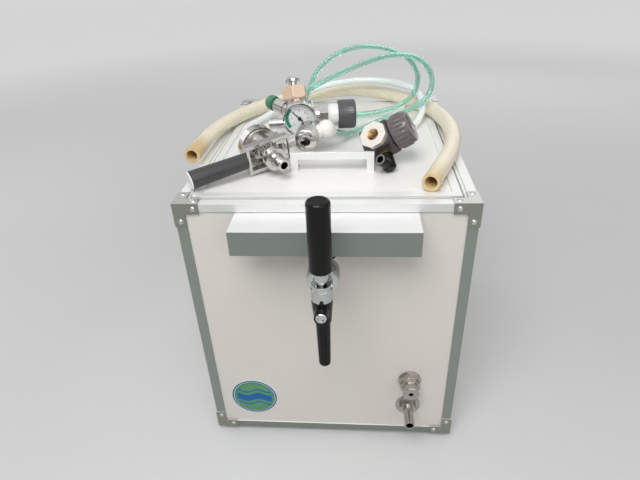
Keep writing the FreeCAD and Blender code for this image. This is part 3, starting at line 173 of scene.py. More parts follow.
def settle(node, values):
    """Sets a node's inputs, by name, to numbers or colours."""
    for name, value in values.items():
        node.inputs[name].default_value = value


def feed(tree, socket, value):
    """Gives a socket another socket, a number, or a colour of three numbers."""
    if isinstance(value, bpy.types.NodeSocket):
        tree.links.new(value, socket)
    elif isinstance(value, (tuple, list)):
        socket.default_value = (*value, 1)
    else:
        socket.default_value = value


def maths(tree, operation, first, second):
    """The socket of an operation on two sockets or numbers."""
    made = add(tree, "Math", operation=operation)
    feed(tree, made.inputs[0], first)
    feed(tree, made.inputs[1], second)
    return made.outputs[0]


def mixed(tree, factor, first, second):
    """From the first colour, where the factor is 0, to the second."""
    made = add(tree, "Mix", data_type="RGBA")
    feed(tree, made.inputs[0], factor)
    feed(tree, made.inputs[6], first)
    feed(tree, made.inputs[7], second)
    return made.outputs[2]


def ranged(tree, factor, low, high, start=0.3, end=0.7):
    made = add(tree, "MapRange")
    settle(made, {"From Min": start, "From Max": end, "To Min": low, "To Max": high})
    tree.links.new(factor, made.inputs["Value"])
    return made.outputs["Result"]


def coordinates(tree, kind):
    """The X, Y and Z sockets of a texture coordinate."""
    split = add(tree, "SeparateXYZ")
    tree.links.new(add(tree, "TexCoord").outputs[kind], split.inputs[0])
    return split.outputs


def noise(tree, scale, detail=3.0, stretch=(1, 1, 1)):
    """Noise in row-frame metres, stretched, so that it follows the object."""
    mapping = add(tree, "Mapping")
    mapping.inputs["Scale"].default_value = stretch
    tree.links.new(add(tree, "TexCoord").outputs["Object"], mapping.inputs["Vector"])
    made = add(tree, "TexNoise")
    settle(made, {"Scale": scale, "Detail": detail, "Roughness": 0.55})
    tree.links.new(mapping.outputs["Vector"], made.inputs["Vector"])
    return made.outputs["Fac"]


def bumped(tree, base, height, strength, distance):
    """Gives the shader a bump, and returns its node."""
    made = add(tree, "Bump")
    settle(made, {"Strength": strength, "Distance": distance})
    tree.links.new(height, made.inputs["Height"])
    tree.links.new(made.outputs["Normal"], base.inputs["Normal"])
    return made


def finish(name, colour, rough, metal=0.0, vary=0.06, patch=14.0, grain=900.0, bump=0.05,
           depth=0.0002, stretch=(1, 1, 1), edge=0.0, coat=0.0, rough_vary=0.08, seep=0.0,
           shine=0.5, shaded_side=None, lit_above=None):
    """A solid finish: patches of colour and gloss, a fine grain in its surface, soft edges.

    The side colour is painted shade on the faces that stand, darker and green-grey as a painted reflection of a
    dark floor; colour is then that of the faces that lie, and, as a painted highlight, for the most part of
    standing faces higher than the given height."""
    made, tree, base = shader(name)
    patches = noise(tree, patch)

    def patched(tone):
        return mixed(tree, patches, [c * (1 - vary) for c in tone],
                     [min(c * (1 + vary), 1) for c in tone])

    painted = patched(colour)
    # painted shade on standing faces, lifted by a painted highlight on those above the given height
    if shaded_side:
        lit_faces = ranged(tree, coordinates(tree, "Normal")["Z"], 0.0, 1.0, *LYING)
        if lit_above:
            height = coordinates(tree, "Object")["Z"]
            higher = ranged(tree, height, 0.0, LIT_SHARE, lit_above - LIT_BLEND,
                            lit_above + LIT_BLEND)
            lit_faces = maths(tree, "MAXIMUM", lit_faces, higher)
        painted = mixed(tree, lit_faces, patched(shaded_side), painted)
    tree.links.new(painted, base.inputs["Base Color"])
    fine = noise(tree, grain, 2.0, stretch)
    tree.links.new(ranged(tree, fine, max(rough - rough_vary, LEAST_ROUGH), rough + rough_vary),
                   base.inputs["Roughness"])
    relief = bumped(tree, base, fine, bump, depth)
    if edge:
        soft = add(tree, "Bevel", samples=4)
        soft.inputs["Radius"].default_value = edge
        tree.links.new(soft.outputs["Normal"], relief.inputs["Normal"])
    settle(base, {"Metallic": metal, "Specular IOR Level": shine, "Coat Weight": coat,
                  "Coat Roughness": 0.06})
    if seep:
        settle(base, {"Subsurface Weight": seep, "Subsurface Scale": SEEP_SCALE})
    return made


def clear_tube(name, colour, rough, passes):
    """A translucent hose wall."""
    made, tree, base = shader(name)
    tree.links.new(mixed(tree, noise(tree, 60.0), [c * 0.96 for c in colour], colour),
                   base.inputs["Base Color"])
    settle(base, {"Transmission Weight": passes, "Roughness": rough, "IOR": 1.35})
    return made


def braided(name):
    """Clear vinyl over a yellowish diamond braid, laid out by the hose's own length and turn."""
    made, tree, base = shader(name)
    turn, run = coordinates(tree, "UV")[:2]
    strands = []
    for sign in (-1.0, 1.0):
        total = maths(tree, "ADD", maths(tree, "MULTIPLY", turn, BRAID_THREADS),
                      maths(tree, "MULTIPLY", run, sign * BRAID_RATE))
        strands.append(maths(tree, "PINGPONG", total, 0.5))
    thread = ranged(tree, maths(tree, "MINIMUM", *strands), 1.0, 0.0, *BRAID_THREAD_EDGE)
    wall = mixed(tree, noise(tree, 22.0), (0.68, 0.58, 0.36), (0.82, 0.74, 0.52))
    hose_wall = mixed(tree, thread, wall, (0.97, 0.94, 0.84))
    aged = maths(tree, "MAXIMUM", ranged(tree, run, 0.85, 0.0, *BRAID_AGED_START),
                 ranged(tree, run, 0.0, 0.6, *BRAID_AGED_END))
    amber = mixed(tree, noise(tree, 160.0), (0.50, 0.31, 0.09), (0.70, 0.50, 0.20))
    tree.links.new(mixed(tree, aged, hose_wall, amber), base.inputs["Base Color"])
    bumped(tree, base, thread, 0.5, 0.0003)
    settle(base, {"Roughness": 0.32, "Subsurface Weight": 0.25, "Subsurface Scale": SEEP_SCALE,
                  "Coat Weight": 0.35, "Coat Roughness": 0.15})
    return made


def clear_glass(name):
    """Thin smeared glass, which hardly bends the light."""
    made, tree, base = shader(name)
    settle(base, {"Base Color": (1, 1, 1, 1), "Transmission Weight": 1.0, "IOR": 1.12})
    tree.links.new(ranged(tree, noise(tree, 120.0), 0.01, 0.06), base.inputs["Roughness"])
    return made


WHITE = finish("white_sheet", (0.675, 0.64, 0.595), 0.42, vary=0.025, patch=5.0, grain=1400.0,
               bump=0.04, depth=0.0001, edge=0.0008, coat=0.08)
LID_WHITE = finish("lid_sheet", (0.86, 0.85, 0.83), 0.40, vary=0.02, patch=7.0, grain=1200.0,
                   bump=0.04, depth=0.0001, edge=0.0008, coat=0.08)
# Their second colours are painted shade and painted reflection of a dark green floor on standing faces; on
# rail_along, standing faces above 0.33 m get a painted highlight.
RAIL = finish("rail", (0.82, 0.83, 0.82), 0.44, metal=0.55, shaded_side=(0.27, 0.30, 0.27),
              vary=0.05, patch=9.0, grain=220.0, bump=0.05, stretch=(1, 1, 12), edge=0.0006)
RAIL_ALONG = finish("rail_along", (0.88, 0.89, 0.88), 0.44, metal=0.40,
                    shaded_side=(0.22, 0.25, 0.22), lit_above=0.33, vary=0.05, patch=9.0,
                    grain=220.0, bump=0.05, stretch=(0.3, 10, 10), edge=0.0006)
BRUSHED = finish("brushed_shelf", (0.86, 0.86, 0.86), 0.40, metal=0.5,
                 shaded_side=(0.23, 0.26, 0.23), vary=0.04, patch=11.0,
                 grain=260.0, bump=0.06, stretch=(0.12, 12, 12), edge=0.0006)
HANDLE = finish("handle_bar", (0.86, 0.86, 0.85), 0.36, metal=0.45, vary=0.04, patch=11.0,
                grain=260.0, bump=0.06, stretch=(0.12, 12, 12), edge=0.0006)
# Its second colour is painted shade and painted reflection of a dark green floor on standing faces.
BRACKET = finish("bracket_steel", (0.66, 0.66, 0.64), 0.30, metal=0.75,
                 shaded_side=(0.29, 0.30, 0.26), vary=0.07, patch=24.0, grain=300.0, bump=0.04,
                 edge=0.0005, rough_vary=0.05)
RIVET = finish("rivet_steel", (0.62, 0.62, 0.60), 0.18, metal=1.0, vary=0.10, patch=180.0,
               grain=900.0, bump=0.03)
CHROME = finish("chrome", (0.58, 0.60, 0.59), 0.06, metal=1.0, vary=0.05, patch=80.0,
                grain=300.0, bump=0.015, edge=0.0004, rough_vary=0.04)
NICKEL = finish("worn_nickel", (0.58, 0.56, 0.545), 0.17, metal=1.0, vary=0.14, patch=90.0,
                grain=800.0, bump=0.04, edge=0.0004, rough_vary=0.10)
STEEL = finish("turned_steel", (0.47, 0.445, 0.42), 0.18, metal=1.0, vary=0.10, patch=110.0,
               grain=500.0, bump=0.05, stretch=(1, 8, 1), edge=0.0004, rough_vary=0.08)
COIL_STEEL = finish("coil_steel", (0.66, 0.66, 0.65), 0.22, metal=1.0, vary=0.08, patch=70.0,
                    grain=700.0, bump=0.03)
BRASS = finish("brass", (0.62, 0.42, 0.23), 0.26, metal=1.0, vary=0.16, patch=120.0,
               grain=700.0, bump=0.05, edge=0.0005, rough_vary=0.10)
BEIGE_BRASS = finish("beige_brass", (0.76, 0.58, 0.43), 0.40, metal=0.50, vary=0.10, patch=70.0,
                     grain=700.0, bump=0.04, edge=0.0008, rough_vary=0.08)
GLOSS_BLACK = finish("gloss_black", (0.006, 0.006, 0.0055), 0.20, vary=0.3, patch=60.0,
                     grain=500.0, bump=0.02, rough_vary=0.06, edge=0.0006, shine=0.22)
SATIN_BLACK = finish("satin_black", (0.040, 0.039, 0.041), 0.32, vary=0.25, patch=80.0,
                     grain=1800.0, bump=0.12, depth=0.0001, rough_vary=0.08, edge=0.0006)
# A lighter copy of satin_black: painted sheen, for the light the knob catches.
KNOB_BLACK = finish("knob_black", (0.075, 0.075, 0.077), 0.30, vary=0.2, patch=80.0, grain=1800.0,
                    bump=0.10, depth=0.0001, rough_vary=0.08, edge=0.0006)
SMOKE = finish("smoked_plastic", (0.13, 0.108, 0.112), 0.12, vary=0.3, patch=90.0,
               grain=500.0, bump=0.03, rough_vary=0.05)
SMOKE_RIM = finish("smoked_rim", (0.34, 0.31, 0.32), 0.14, vary=0.2, patch=90.0,
                   grain=500.0, bump=0.03, rough_vary=0.05)
RUBBER = finish("rubber", (0.02, 0.02, 0.02), 0.7, vary=0.25, patch=90.0, grain=1600.0,
                bump=0.25)
MILK_PLASTIC = finish("milk_plastic", (0.84, 0.83, 0.80), 0.28, vary=0.04, patch=70.0,
                      grain=600.0, bump=0.03, seep=0.3, coat=0.25, edge=0.0006)
DOME_GREEN = finish("dome_green", (0.045, 0.19, 0.10), 0.30, vary=0.12, patch=90.0, grain=900.0,
                    bump=0.04, coat=0.3)
FOAM = finish("foam_board", (0.80, 0.76, 0.64), 0.85, vary=0.08, patch=90.0, grain=1400.0,
              bump=0.5, depth=0.0005)
LINER = finish("liner", (0.86, 0.86, 0.84), 0.30, vary=0.03, patch=9.0, grain=800.0, bump=0.04,
               coat=0.1, edge=0.001)
CARD = finish("dial_card", (0.82, 0.84, 0.84), 0.5, vary=0.03, patch=90.0, grain=1500.0,
              bump=0.02)
GREY_INK = finish("grey_ink", (0.16, 0.17, 0.18), 0.5, vary=0.15, grain=900.0, bump=0.02)
GREY_PLASTIC = finish("grey_plastic", (0.16, 0.16, 0.17), 0.3, vary=0.2, patch=90.0, grain=900.0,
                      bump=0.04)
INK = finish("black_ink", (0.015, 0.015, 0.015), 0.45, vary=0.2, grain=900.0, bump=0.02)
SCALE_GREEN = finish("scale_green", (0.02, 0.30, 0.17), 0.45, vary=0.08, grain=900.0, bump=0.02)
BADGE_WHITE = finish("badge_white", (0.80, 0.82, 0.80), 0.35, vary=0.03, patch=40.0, bump=0.02)
BADGE_BLUE = finish("badge_blue", (0.006, 0.12, 0.36), 0.40, vary=0.08, patch=60.0, bump=0.02,
                    shine=0.3)
BADGE_GREEN = finish("badge_green", (0.10, 0.29, 0.15), 0.40, vary=0.10, patch=60.0, bump=0.02,
                     shine=0.3)
BADGE_DARK = finish("badge_dark", (0.03, 0.12, 0.07), 0.34, vary=0.10, patch=60.0, bump=0.02)
PORT_SILVER = finish("port_silver", (0.82, 0.76, 0.70), 0.34, metal=0.6, vary=0.06, patch=120.0,
                     grain=600.0, bump=0.04, edge=0.0006)
GREEN_TUBE = clear_tube("green_tube", (0.66, 0.93, 0.84), 0.05, 0.88)
MILKY_TUBE = finish("milky_tube", (0.90, 0.91, 0.90), 0.25, vary=0.04, patch=60.0, grain=700.0,
                    bump=0.03, seep=0.35, coat=0.3)
BRAID = braided("braided_hose")
CUT_END = finish("cut_end", (0.66, 0.49, 0.26), 0.4, vary=0.15, patch=300.0, grain=900.0,
                 bump=0.1, seep=0.3)
LENS = clear_glass("gauge_glass")

FINISHES = {
    "frame_rails": RAIL_ALONG, "frame_uprights": RAIL, "corner_brackets": BRACKET,
    "rivets": RIVET, "front_panel": WHITE, "back_panel": WHITE, "side_panels": WHITE,
    "bottom_panel": WHITE, "insulation": FOAM, "ice_liner": LINER, "feet": RUBBER,
    "shelf": BRUSHED, "shelf_screws": RIVET, "badge": BADGE_WHITE, "tap_shank": CHROME,
    "shank_flange": CHROME, "shank_backnut": STEEL, "coupling_nut": CHROME, "tap_body": CHROME,
    "tap_bonnet": CHROME, "lever_stem": CHROME, "tap_grip": GLOSS_BLACK, "tap_stem": STEEL,
    "tap_nozzle": GLOSS_BLACK, "foam_screw": CHROME, "port_washers": STEEL, "port_nuts": STEEL,
    "inlet_fitting": STEEL, "drain_pipe": STEEL, "cooling_coil": COIL_STEEL,
    "lid_frame": RAIL_ALONG, "lid_panel": LID_WHITE, "lid_core": FOAM, "lid_handle": HANDLE,
    "handle_screws": RIVET, "coupler_body": NICKEL, "coupler_seal": RUBBER,
    "coupler_yoke": NICKEL, "coupler_grip": SATIN_BLACK, "coupler_probe": NICKEL,
    "gas_inlet_nut": NICKEL, "check_ball": MILK_PLASTIC, "regulator_body": NICKEL,
    "relief_dome": DOME_GREEN, "regulator_bonnet": MILK_PLASTIC, "regulator_knob": SATIN_BLACK,
    "gauge_case": CHROME, "gauge_dial": CARD, "gauge_needle": INK, "gauge_lens": LENS,
    "cylinder_nut": BEIGE_BRASS, "mini_block": SATIN_BLACK, "mini_port": PORT_SILVER,
    "mini_knob": SMOKE, "banjo_bolt": BRASS, "push_in_elbow": GLOSS_BLACK,
}


def paint_nodes():
    for name, made in FINISHES.items():
        data = NODES[name].data
        data.materials.clear()
        data.materials.append(made)


# ---------------------------------------------------------------- making pieces
def put(name, data):
    """A new object in the scene."""
    made = bpy.data.objects.new(name, data)
    bpy.context.scene.collection.objects.link(made)
    return made


def drawn(data):
    """The points and faces that a curve or a text makes. The curve is used up."""
    holder = put(data.name, data)
    bpy.context.view_layer.update()
    ready = holder.evaluated_get(bpy.context.evaluated_depsgraph_get())
    mesh = bpy.data.meshes.new_from_object(ready)
    points = [v.co.copy() for v in mesh.vertices]
    faces = [tuple(face.vertices) for face in mesh.polygons]
    bpy.data.meshes.remove(mesh)
    bpy.data.objects.remove(holder)
    bpy.data.curves.remove(data)
    return points, faces


def clean_normals(data, merge=0.0):
    """Turns a mesh's faces outwards, after merging points that are as close as this."""
    work = bmesh.new()
    work.from_mesh(data)
    if merge:
        bmesh.ops.remove_doubles(work, verts=work.verts, dist=merge)
    bmesh.ops.recalc_face_normals(work, faces=work.faces)
    work.to_mesh(data)
    work.free()


def piece(name, verts, faces, body, slot, material, smooth=True, stands_for=()):
    """A mesh piece in the row frame."""
    data = bpy.data.meshes.new(name)
    data.from_pydata([tuple(v) for v in verts], [], faces)
    clean_normals(data, 1e-7)
    data.materials.append(material)
    for face in data.polygons:
        face.use_smooth = smooth
    if smooth:
        data.set_sharp_from_angle(angle=math.radians(SHARP))
    made = put(name, data)
    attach(made, body)
    if stands_for:
        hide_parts(*stands_for)


def facing(origin, axis, side=None):
    """A frame with its Z along axis; side, where given, is roughly its X."""
    z = Vector(axis).normalized()
    x = Vector(side) if side else (Vector((0, 0, 1)) if abs(z.z) < 0.9 else Vector((1, 0, 0)))
    x = (x - z * x.dot(z)).normalized()
    turn = Matrix((x, z.cross(x), z)).transposed().to_4x4()
    return Matrix.Translation(Vector(origin)) @ turn


def axis_frame(joint, side=None, turned=1.0):
    """A joint's place, with Z along its axis, or against it where turned is -1."""
    there = JOINTS[joint]
    return facing(there["pos_m"], Vector(there["axis"]) * turned, side)


def front_frame(node, axis, side=None):
    """The middle of a node's front face, with Z along axis, and the node's box."""
    low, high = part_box(node)
    middle = (0.5 * (low.x + high.x), low.y, 0.5 * (low.z + high.z))
    return facing(middle, axis, side), high - low


def lathe(profile, place, sides=48, ribs=0, depth=0.0, rib_band=(0.0, 0.0), twist=0.0):
    """Turns (radius, height) points about place's Z. Ribs stand on the heights in rib_band."""
    verts, faces = [], []
    rings = []
    for radius, height in profile:
        ring = []
        if radius < 1e-6:
            ring = [len(verts)] * sides
            verts.append(place @ Vector((0, 0, height)))
        else:
            for i in range(sides):
                angle = 2 * math.pi * i / sides
                r = radius
                if ribs and rib_band[0] <= height <= rib_band[1]:
                    wave = math.cos(ribs * (angle + twist * height))
                    r -= depth * (0.5 - 0.5 * wave) ** 2
                ring.append(len(verts))
                verts.append(place @ Vector((r * math.cos(angle), r * math.sin(angle), height)))
        rings.append(ring)
    for a, b in zip(rings, rings[1:]):
        for i in range(sides):
            j = (i + 1) % sides
            corners = [a[i], a[j], b[j], b[i]]
            corners = [c for k, c in enumerate(corners) if c not in corners[:k]]
            if len(corners) > 2:
                faces.append(corners)
    return verts, faces


def both(*shapes):
    """Several (points, faces) shapes as one."""
    verts, faces = [], []
    for more, sides in shapes:
        faces += [tuple(i + len(verts) for i in side) for side in sides]
        verts += more
    return verts, faces


def slab(outline, low, high, place):
    """A plate between two heights of place, with an outline of (x, y) points."""
    count = len(outline)
    verts = [place @ Vector((x, y, z)) for z in (low, high) for x, y in outline]
    faces = [tuple(range(count - 1, -1, -1)), tuple(range(count, 2 * count))]
    faces += [(i, (i + 1) % count, count + (i + 1) % count, count + i) for i in range(count)]
    return verts, faces


def arc(radius, start, stop, steps=20):
    """Points on an arc, with its angles in degrees."""
    angles = [math.radians(start + (stop - start) * i / steps) for i in range(steps + 1)]
    return [(radius * math.cos(a), radius * math.sin(a)) for a in angles]


def sector(inner, outer, start, stop, low, high, place):
    return slab(arc(outer, start, stop) + arc(inner, stop, start), low, high, place)


def bar(start, stop, width, low, high, place):
    """A straight mark between two (x, y) points."""
    a, b = Vector(start), Vector(stop)
    side = (b - a).normalized().orthogonal() * width / 2
    return slab([tuple(a + side), tuple(b + side), tuple(b - side), tuple(a - side)], low, high,
                place)


def number(value, middle, size, low, high, place):
    """A plain printed number, centred on an (x, y) point."""
    data = bpy.data.curves.new("number", "FONT")
    data.body = str(value)
    data.size = size
    data.align_x = "CENTER"
    data.align_y = "CENTER"
    data.extrude = (high - low) / 2
    points, faces = drawn(data)
    shift = Vector((*middle, (low + high) / 2))
    return [place @ (point + shift) for point in points], faces


# ---------------------------------------------------------------- hoses
def on_lid(triples):
    """Route points given as x, distance behind the front rails, and height above the lid."""
    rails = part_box("frame_rails")[0].y
    return [Vector((x / 1000, rails + y / 1000, LID_TOP + z / 1000)) for x, y, z in triples]


# the same routes as the CAD hoses, in millimetres
BRAID_ROUTE = on_lid([
    (-178, 112, 10.8), (-176, 150, 10.8), (-174, 196, 10.8), (-163, 248, 10.8), (-140, 300, 10.8),
    (-105, 343, 12), (-60, 372, 15), (-8, 388, 18), (45, 391, 18), (95, 372, 14),
    (132, 335, 11), (155, 285, 10.8), (166, 230, 10.8), (166, 176, 10.8), (155, 124, 10.8),
    (137, 74, 10.8), (118, 26, 10.8)])
GREEN_ROUTE = on_lid([
    (-39.9, 224.7, 44.1), (-38, 250, 52), (-25, 272, 80), (7, 286, 102), (48, 296, 108),
    (89, 301, 99), (117, 303, 84), (130, 304, 56), (121, 303, 28), (94, 301, 11), (56, 299, 4.5),
    (17, 297, 2.7), (-20, 290, 4.5), (-46, 270, 15), (-56, 245, 38), (-36, 230, 62), (2, 241, 77),
    (41, 262, 89), (82, 279, 97), (118, 288, 94), (142, 289, 76), (149, 284, 48), (133, 274, 26),
    (103, 260, 18), (74, 243, 13), (48, 226, 8), (29, 204, 7), (15, 181, 12), (3.9, 160.8, 25.1)])
MILKY_ROUTE = on_lid([
    (118, 237, 3.6), (131, 262, 9), (137, 290, 23), (127, 323, 36), (98, 348, 40), (61, 362, 41),
    (22, 364, 40), (-18, 354, 36), (-52, 336, 29), (-84, 313, 17), (-110, 282, 6), (-130, 248, 3.6),
    (-134, 215, 3.6), (-118, 188, 3.6), (-91, 176, 3.6), (-64, 174, 3.6)])


def smooth_line(route):
    """Points along the NURBS spline that has the route's points as its control points."""
    curve = bpy.data.curves.new("route", "CURVE")
    curve.dimensions = "3D"
    curve.resolution_u = 10
    spline = curve.splines.new("NURBS")
    spline.points.add(len(route) - 1)
    for made, point in zip(spline.points, route):
        made.co = (*point, 1)
    spline.order_u = 3
    spline.use_endpoint_u = True
    line = drawn(curve)[0]
    return [p for i, p in enumerate(line) if i == 0 or (p - line[i - 1]).length > 1e-5]


def hose_rings(line, radius, bore):
    """Rings of points, outside and inside, round each point of a line, and how far along
    the line each of its points is."""
    verts, runs = [], []
    side = Vector((0, 0, 1))
    run = 0.0
    for i, point in enumerate(line):
        ahead = (line[min(i + 1, len(line) - 1)] - line[max(i - 1, 0)]).normalized()
        side = (side - ahead * side.dot(ahead)).normalized()
        across = ahead.cross(side)
        if i:
            run += (point - line[i - 1]).length
        runs.append(run)
        for r in (radius, bore):
            for k in range(TUBE_SIDES):
                angle = 2 * math.pi * k / TUBE_SIDES
                verts.append(point + side * (r * math.cos(angle)) + across * (r * math.sin(angle)))
    return verts, runs


def hose(name, route, radius, bore, slot, material, end_material=None, **facts):
    """A hollow hose along a route, open at both ends, with its length and turn as UVs."""
    line = smooth_line(route)
    verts, runs = hose_rings(line, radius, bore)
    step = 2 * TUBE_SIDES
    faces, uvs, picks = [], [], []

    def band(first, second, start, stop, pick):
        """The faces between two rings, which start at these points."""
        for k in range(TUBE_SIDES):
            m = (k + 1) % TUBE_SIDES
            turn, next_turn = k / TUBE_SIDES, (k + 1) / TUBE_SIDES
            faces.append((first + k, first + m, second + m, second + k))
            uvs.extend([(turn, start), (next_turn, start), (next_turn, stop), (turn, stop)])
            picks.append(pick)

    for i in range(len(line) - 1):
        for inside, ring in enumerate((i * step, i * step + TUBE_SIDES)):
            band(ring, ring + step, runs[i], runs[i + 1], inside)
    for ring in (0, (len(line) - 1) * step):
        band(ring, ring + TUBE_SIDES, 0, 0, 1)
    data = bpy.data.meshes.new(name)
    data.from_pydata([tuple(v) for v in verts], [], faces)
    for loop, uv in zip(data.uv_layers.new(name="UVMap").data, uvs):
        loop.uv = uv
    data.materials.append(material)
    data.materials.append(end_material or material)
    for face, pick in zip(data.polygons, picks):
        face.use_smooth = True
        face.material_index = pick
    clean_normals(data)
    data.set_sharp_from_angle(angle=math.radians(SHARP_HOSE))
    made = put(name, data)
    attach(made, "lid")
    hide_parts(name.replace("_visible", ""))


def make_hoses():
    hose("braided_hose_visible", BRAID_ROUTE, BRAID_R, BRAID_BORE, "hose_braided", BRAID, CUT_END,
         length=0.83, far_end="bare", stiffness="medium", lay="loose")
    hose("green_hose_visible", GREEN_ROUTE, GREEN_R, GREEN_BORE, "hose_green", GREEN_TUBE,
         length=0.93, far_end="object", stiffness="medium", lay="loose")
    hose("milky_hose_visible", MILKY_ROUTE, MILKY_R, MILKY_BORE, "hose_milky", MILKY_TUBE,
         length=0.52, far_end="bare", stiffness="medium", lay="loose")


# ---------------------------------------------------------------- details
def dial_ray(step):
    """The direction from the dial's middle to one of its marks."""
    angle = math.radians(DIAL_START - DIAL_SWEEP * step / DIAL_STEPS)
    return Vector((math.cos(angle), math.sin(angle)))


def gauge_details():
    """Scale, numbers and coloured arc on the dial, and the needle's hub."""
    axis = Vector(JOINTS["gauge_needle"]["axis"])
    place = axis_frame("gauge_needle", side=axis.cross(Vector((0, 0, 1))), turned=-1.0)
    low, high = DIAL_FACE, DIAL_FACE + INK_T
    marks = []
    for step in range(DIAL_STEPS + 1):
        ray = dial_ray(step)
        inner, width = ((DIAL_MARK_IN, DIAL_MARK_W) if step % DIAL_LONG
                        else (DIAL_LONG_IN, DIAL_LONG_W))
        marks.append(bar(ray * inner, ray * DIAL_MARK_OUT, width, low, high, place))
    for step in range(0, DIAL_STEPS + 1, DIAL_LONG):
        marks.append(number(step // DIAL_LONG * DIAL_STEP_VALUE, dial_ray(step) * DIAL_NUMBER_R,
                            DIAL_NUMBER_H, low, high, place))
    marks.append(sector(*DIAL_LINE, low, high, place))
    piece("dial_marks", *both(*marks), "lid", "needle_black", GREY_INK, smooth=False)
    piece("dial_arc", *sector(*DIAL_ARC, low, high + INK_T, place), "lid", "dome_green",
          SCALE_GREEN, smooth=False)
    hub = [(0, 0.0012), (0.0014, 0.0012), (0.0022, 0.0006), (0.0024, -0.0004), (0, -0.0004)]
    hub = [(radius, NEEDLE_FRONT + height) for radius, height in hub]
    piece("needle_hub", *lathe(hub, place, HUB_SIDES), "gauge_needle", "needle_black", INK)


def regulator_knob():
    """The large knob, with soft ribs and a stepped end."""
    back, front, r = KNOB_BACK, KNOB_FRONT, KNOB_R
    band = (back + 0.0030, front - 0.0044)
    profile = [(0, back), (r - 0.0012, back), (r, back + 0.0010), (r, back + 0.0022),
               (r - 0.0001, band[0]), (r - 0.0001, band[1]), (r, front - 0.0036),
               (r, front - 0.0020), (r - 0.0006, front - 0.0008), (r - 0.0020, front),
               (r - 0.0046, front), (r - 0.0056, front - 0.0010), (0, front - 0.0010)]
    ribbed = lathe(profile, axis_frame("regulator_knob"), KNOB_SIDES, KNOB_RIBS, KNOB_RIB_DEPTH,
                   band)
    piece("knob_ribbed", *ribbed, "regulator_knob", "knob_black", KNOB_BLACK,
          stands_for=("regulator_knob",))


def mini_knob():
    """The smoked knob, deeply ribbed, with a rim round the window in its end."""
    place = axis_frame("mini_knob")
    back, front, r = MINI_BACK, MINI_FRONT, MINI_R
    profile = [(0, back), (r - 0.0030, back), (r - 0.0016, back + 0.0008),
               (r - 0.0014, back + 0.003), (r, back + 0.0040), (r, front - 0.0066),
               (r - 0.0010, front - 0.0054), (r - 0.0016, front - 0.0012), (r - 0.0028, front)]
    ribs = lathe(profile, place, TURNED_SIDES, MINI_RIBS, MINI_RIB_DEPTH,
                 (back + 0.0038, front - 0.0064))
    piece("mini_knob_ribbed", *ribs, "mini_knob", "mini_smoke", SMOKE, stands_for=("mini_knob",))
    rim = [(r - 0.0028, front), (r - 0.0060, front), (r - 0.0068, front - 0.0006),
           (r - 0.0072, front - 0.0024), (r - 0.0040, front - 0.0030),
           (r - 0.0028, front - 0.0010), (r - 0.0028, front)]
    well = [(r - 0.0070, front - 0.0024), (r - 0.0074, front - 0.0062), (0.0060, front - 0.0070),
            (0.0054, front - 0.0052), (0.0, front - 0.0048)]
    glass = [(0, front - 0.0016), (r - 0.0070, front - 0.0016), (r - 0.0070, front - 0.0022),
             (0, front - 0.0022), (0, front - 0.0016)]
    for name, outline, sides, slot, material in (
            ("rim", rim, MINI_RIM_SIDES, "mini_smoke", SMOKE_RIM),
            ("window", well, SMALL_SIDES, "mini_smoke", SATIN_BLACK),
            ("lens", glass, SMALL_SIDES, "lens", LENS)):
        piece("mini_knob_" + name, *lathe(outline, place, sides), "mini_knob", slot, material)


def coupling_nut():
    """The nut that holds the tap, with a knurled rim."""
    place, size = front_frame("coupling_nut", (0, 1, 0))
    deep, r = size.y, 0.5 * size.x
    profile = [(NUT_FRONT_BORE, 0), (r - 0.0022, 0), (r - 0.0008, 0.0008), (r - 0.0004, 0.0034),
               (r - 0.0004, 0.0060), (r, 0.0066), (r, deep - 0.0016), (r - 0.0012, deep),
               (NUT_BACK_BORE, deep), (NUT_BACK_BORE, deep - NUT_BACK_WALL),
               (NUT_HOLLOW, deep - NUT_BACK_WALL), (NUT_HOLLOW, NUT_FRONT_WALL),
               (NUT_FRONT_BORE, NUT_FRONT_WALL), (NUT_FRONT_BORE, 0)]
    knurled = lathe(profile, place, TURNED_SIDES, NUT_RIBS, NUT_RIB_DEPTH, (0.0062, deep - 0.001))
    piece("coupling_nut_knurled", *knurled, "cabinet", "chrome", CHROME,
          stands_for=("coupling_nut",))


def ends(node, start):
    """The middles of a long round node's two end faces, nearest and farthest from start."""
    points = [v.co.copy() for v in NODES[node].data.vertices]
    middle = sum(points, Vector()) / len(points)
    for _ in range(3):
        along = (middle - Vector(start)).normalized()
        heights = [p.dot(along) for p in points]
        near = [p for p, h in zip(points, heights) if h < min(heights) + END_DEPTH]
        far = [p for p, h in zip(points, heights) if h > max(heights) - END_DEPTH]
        start = sum(near, Vector()) / len(near)
        middle = sum(far, Vector()) / len(far)
    return start, middle


def coupler_details():
    """The knurled nut on the gas inlet, and the white cap in the end of the grip."""
    pivot = JOINTS["coupler_lever"]["pos_m"]
    inner, outer = ends("gas_inlet_nut", pivot)
    deep, r = (outer - inner).length, GAS_NUT_R
    edge = deep * GAS_NUT_BAND
    profile = [(GAS_NUT_BORE, 0), (r - 0.0024, 0), (r - 0.0010, 0.0010), (r - 0.0010, 0.0026),
               (r, 0.0032), (r, edge), (r - 0.0010, edge + 0.0006), (r - 0.0010, deep - 0.0010),
               (r - 0.0026, deep), (GAS_NUT_BORE, deep), (GAS_NUT_BORE, 0)]
    knurled = lathe(profile, facing(inner, outer - inner), TURNED_SIDES, NUT_RIBS, NUT_RIB_DEPTH,
                    (0.0030, edge + 0.0001), GAS_NUT_TWIST)
    piece("gas_nut_knurled", *knurled, "lid", "coupler_metal", NICKEL,
          stands_for=("gas_inlet_nut",))
    root, end = ends("coupler_grip", pivot)
    cap = [(0, -0.0004), (0.0102, -0.0004), (0.0107, 0), (0.0107, 0.0008), (0.0101, 0.0013),
           (0, 0.0013)]
    piece("grip_cap", *lathe(cap, facing(end, end - root)), "coupler_lever", "check_white",
          MILK_PLASTIC)


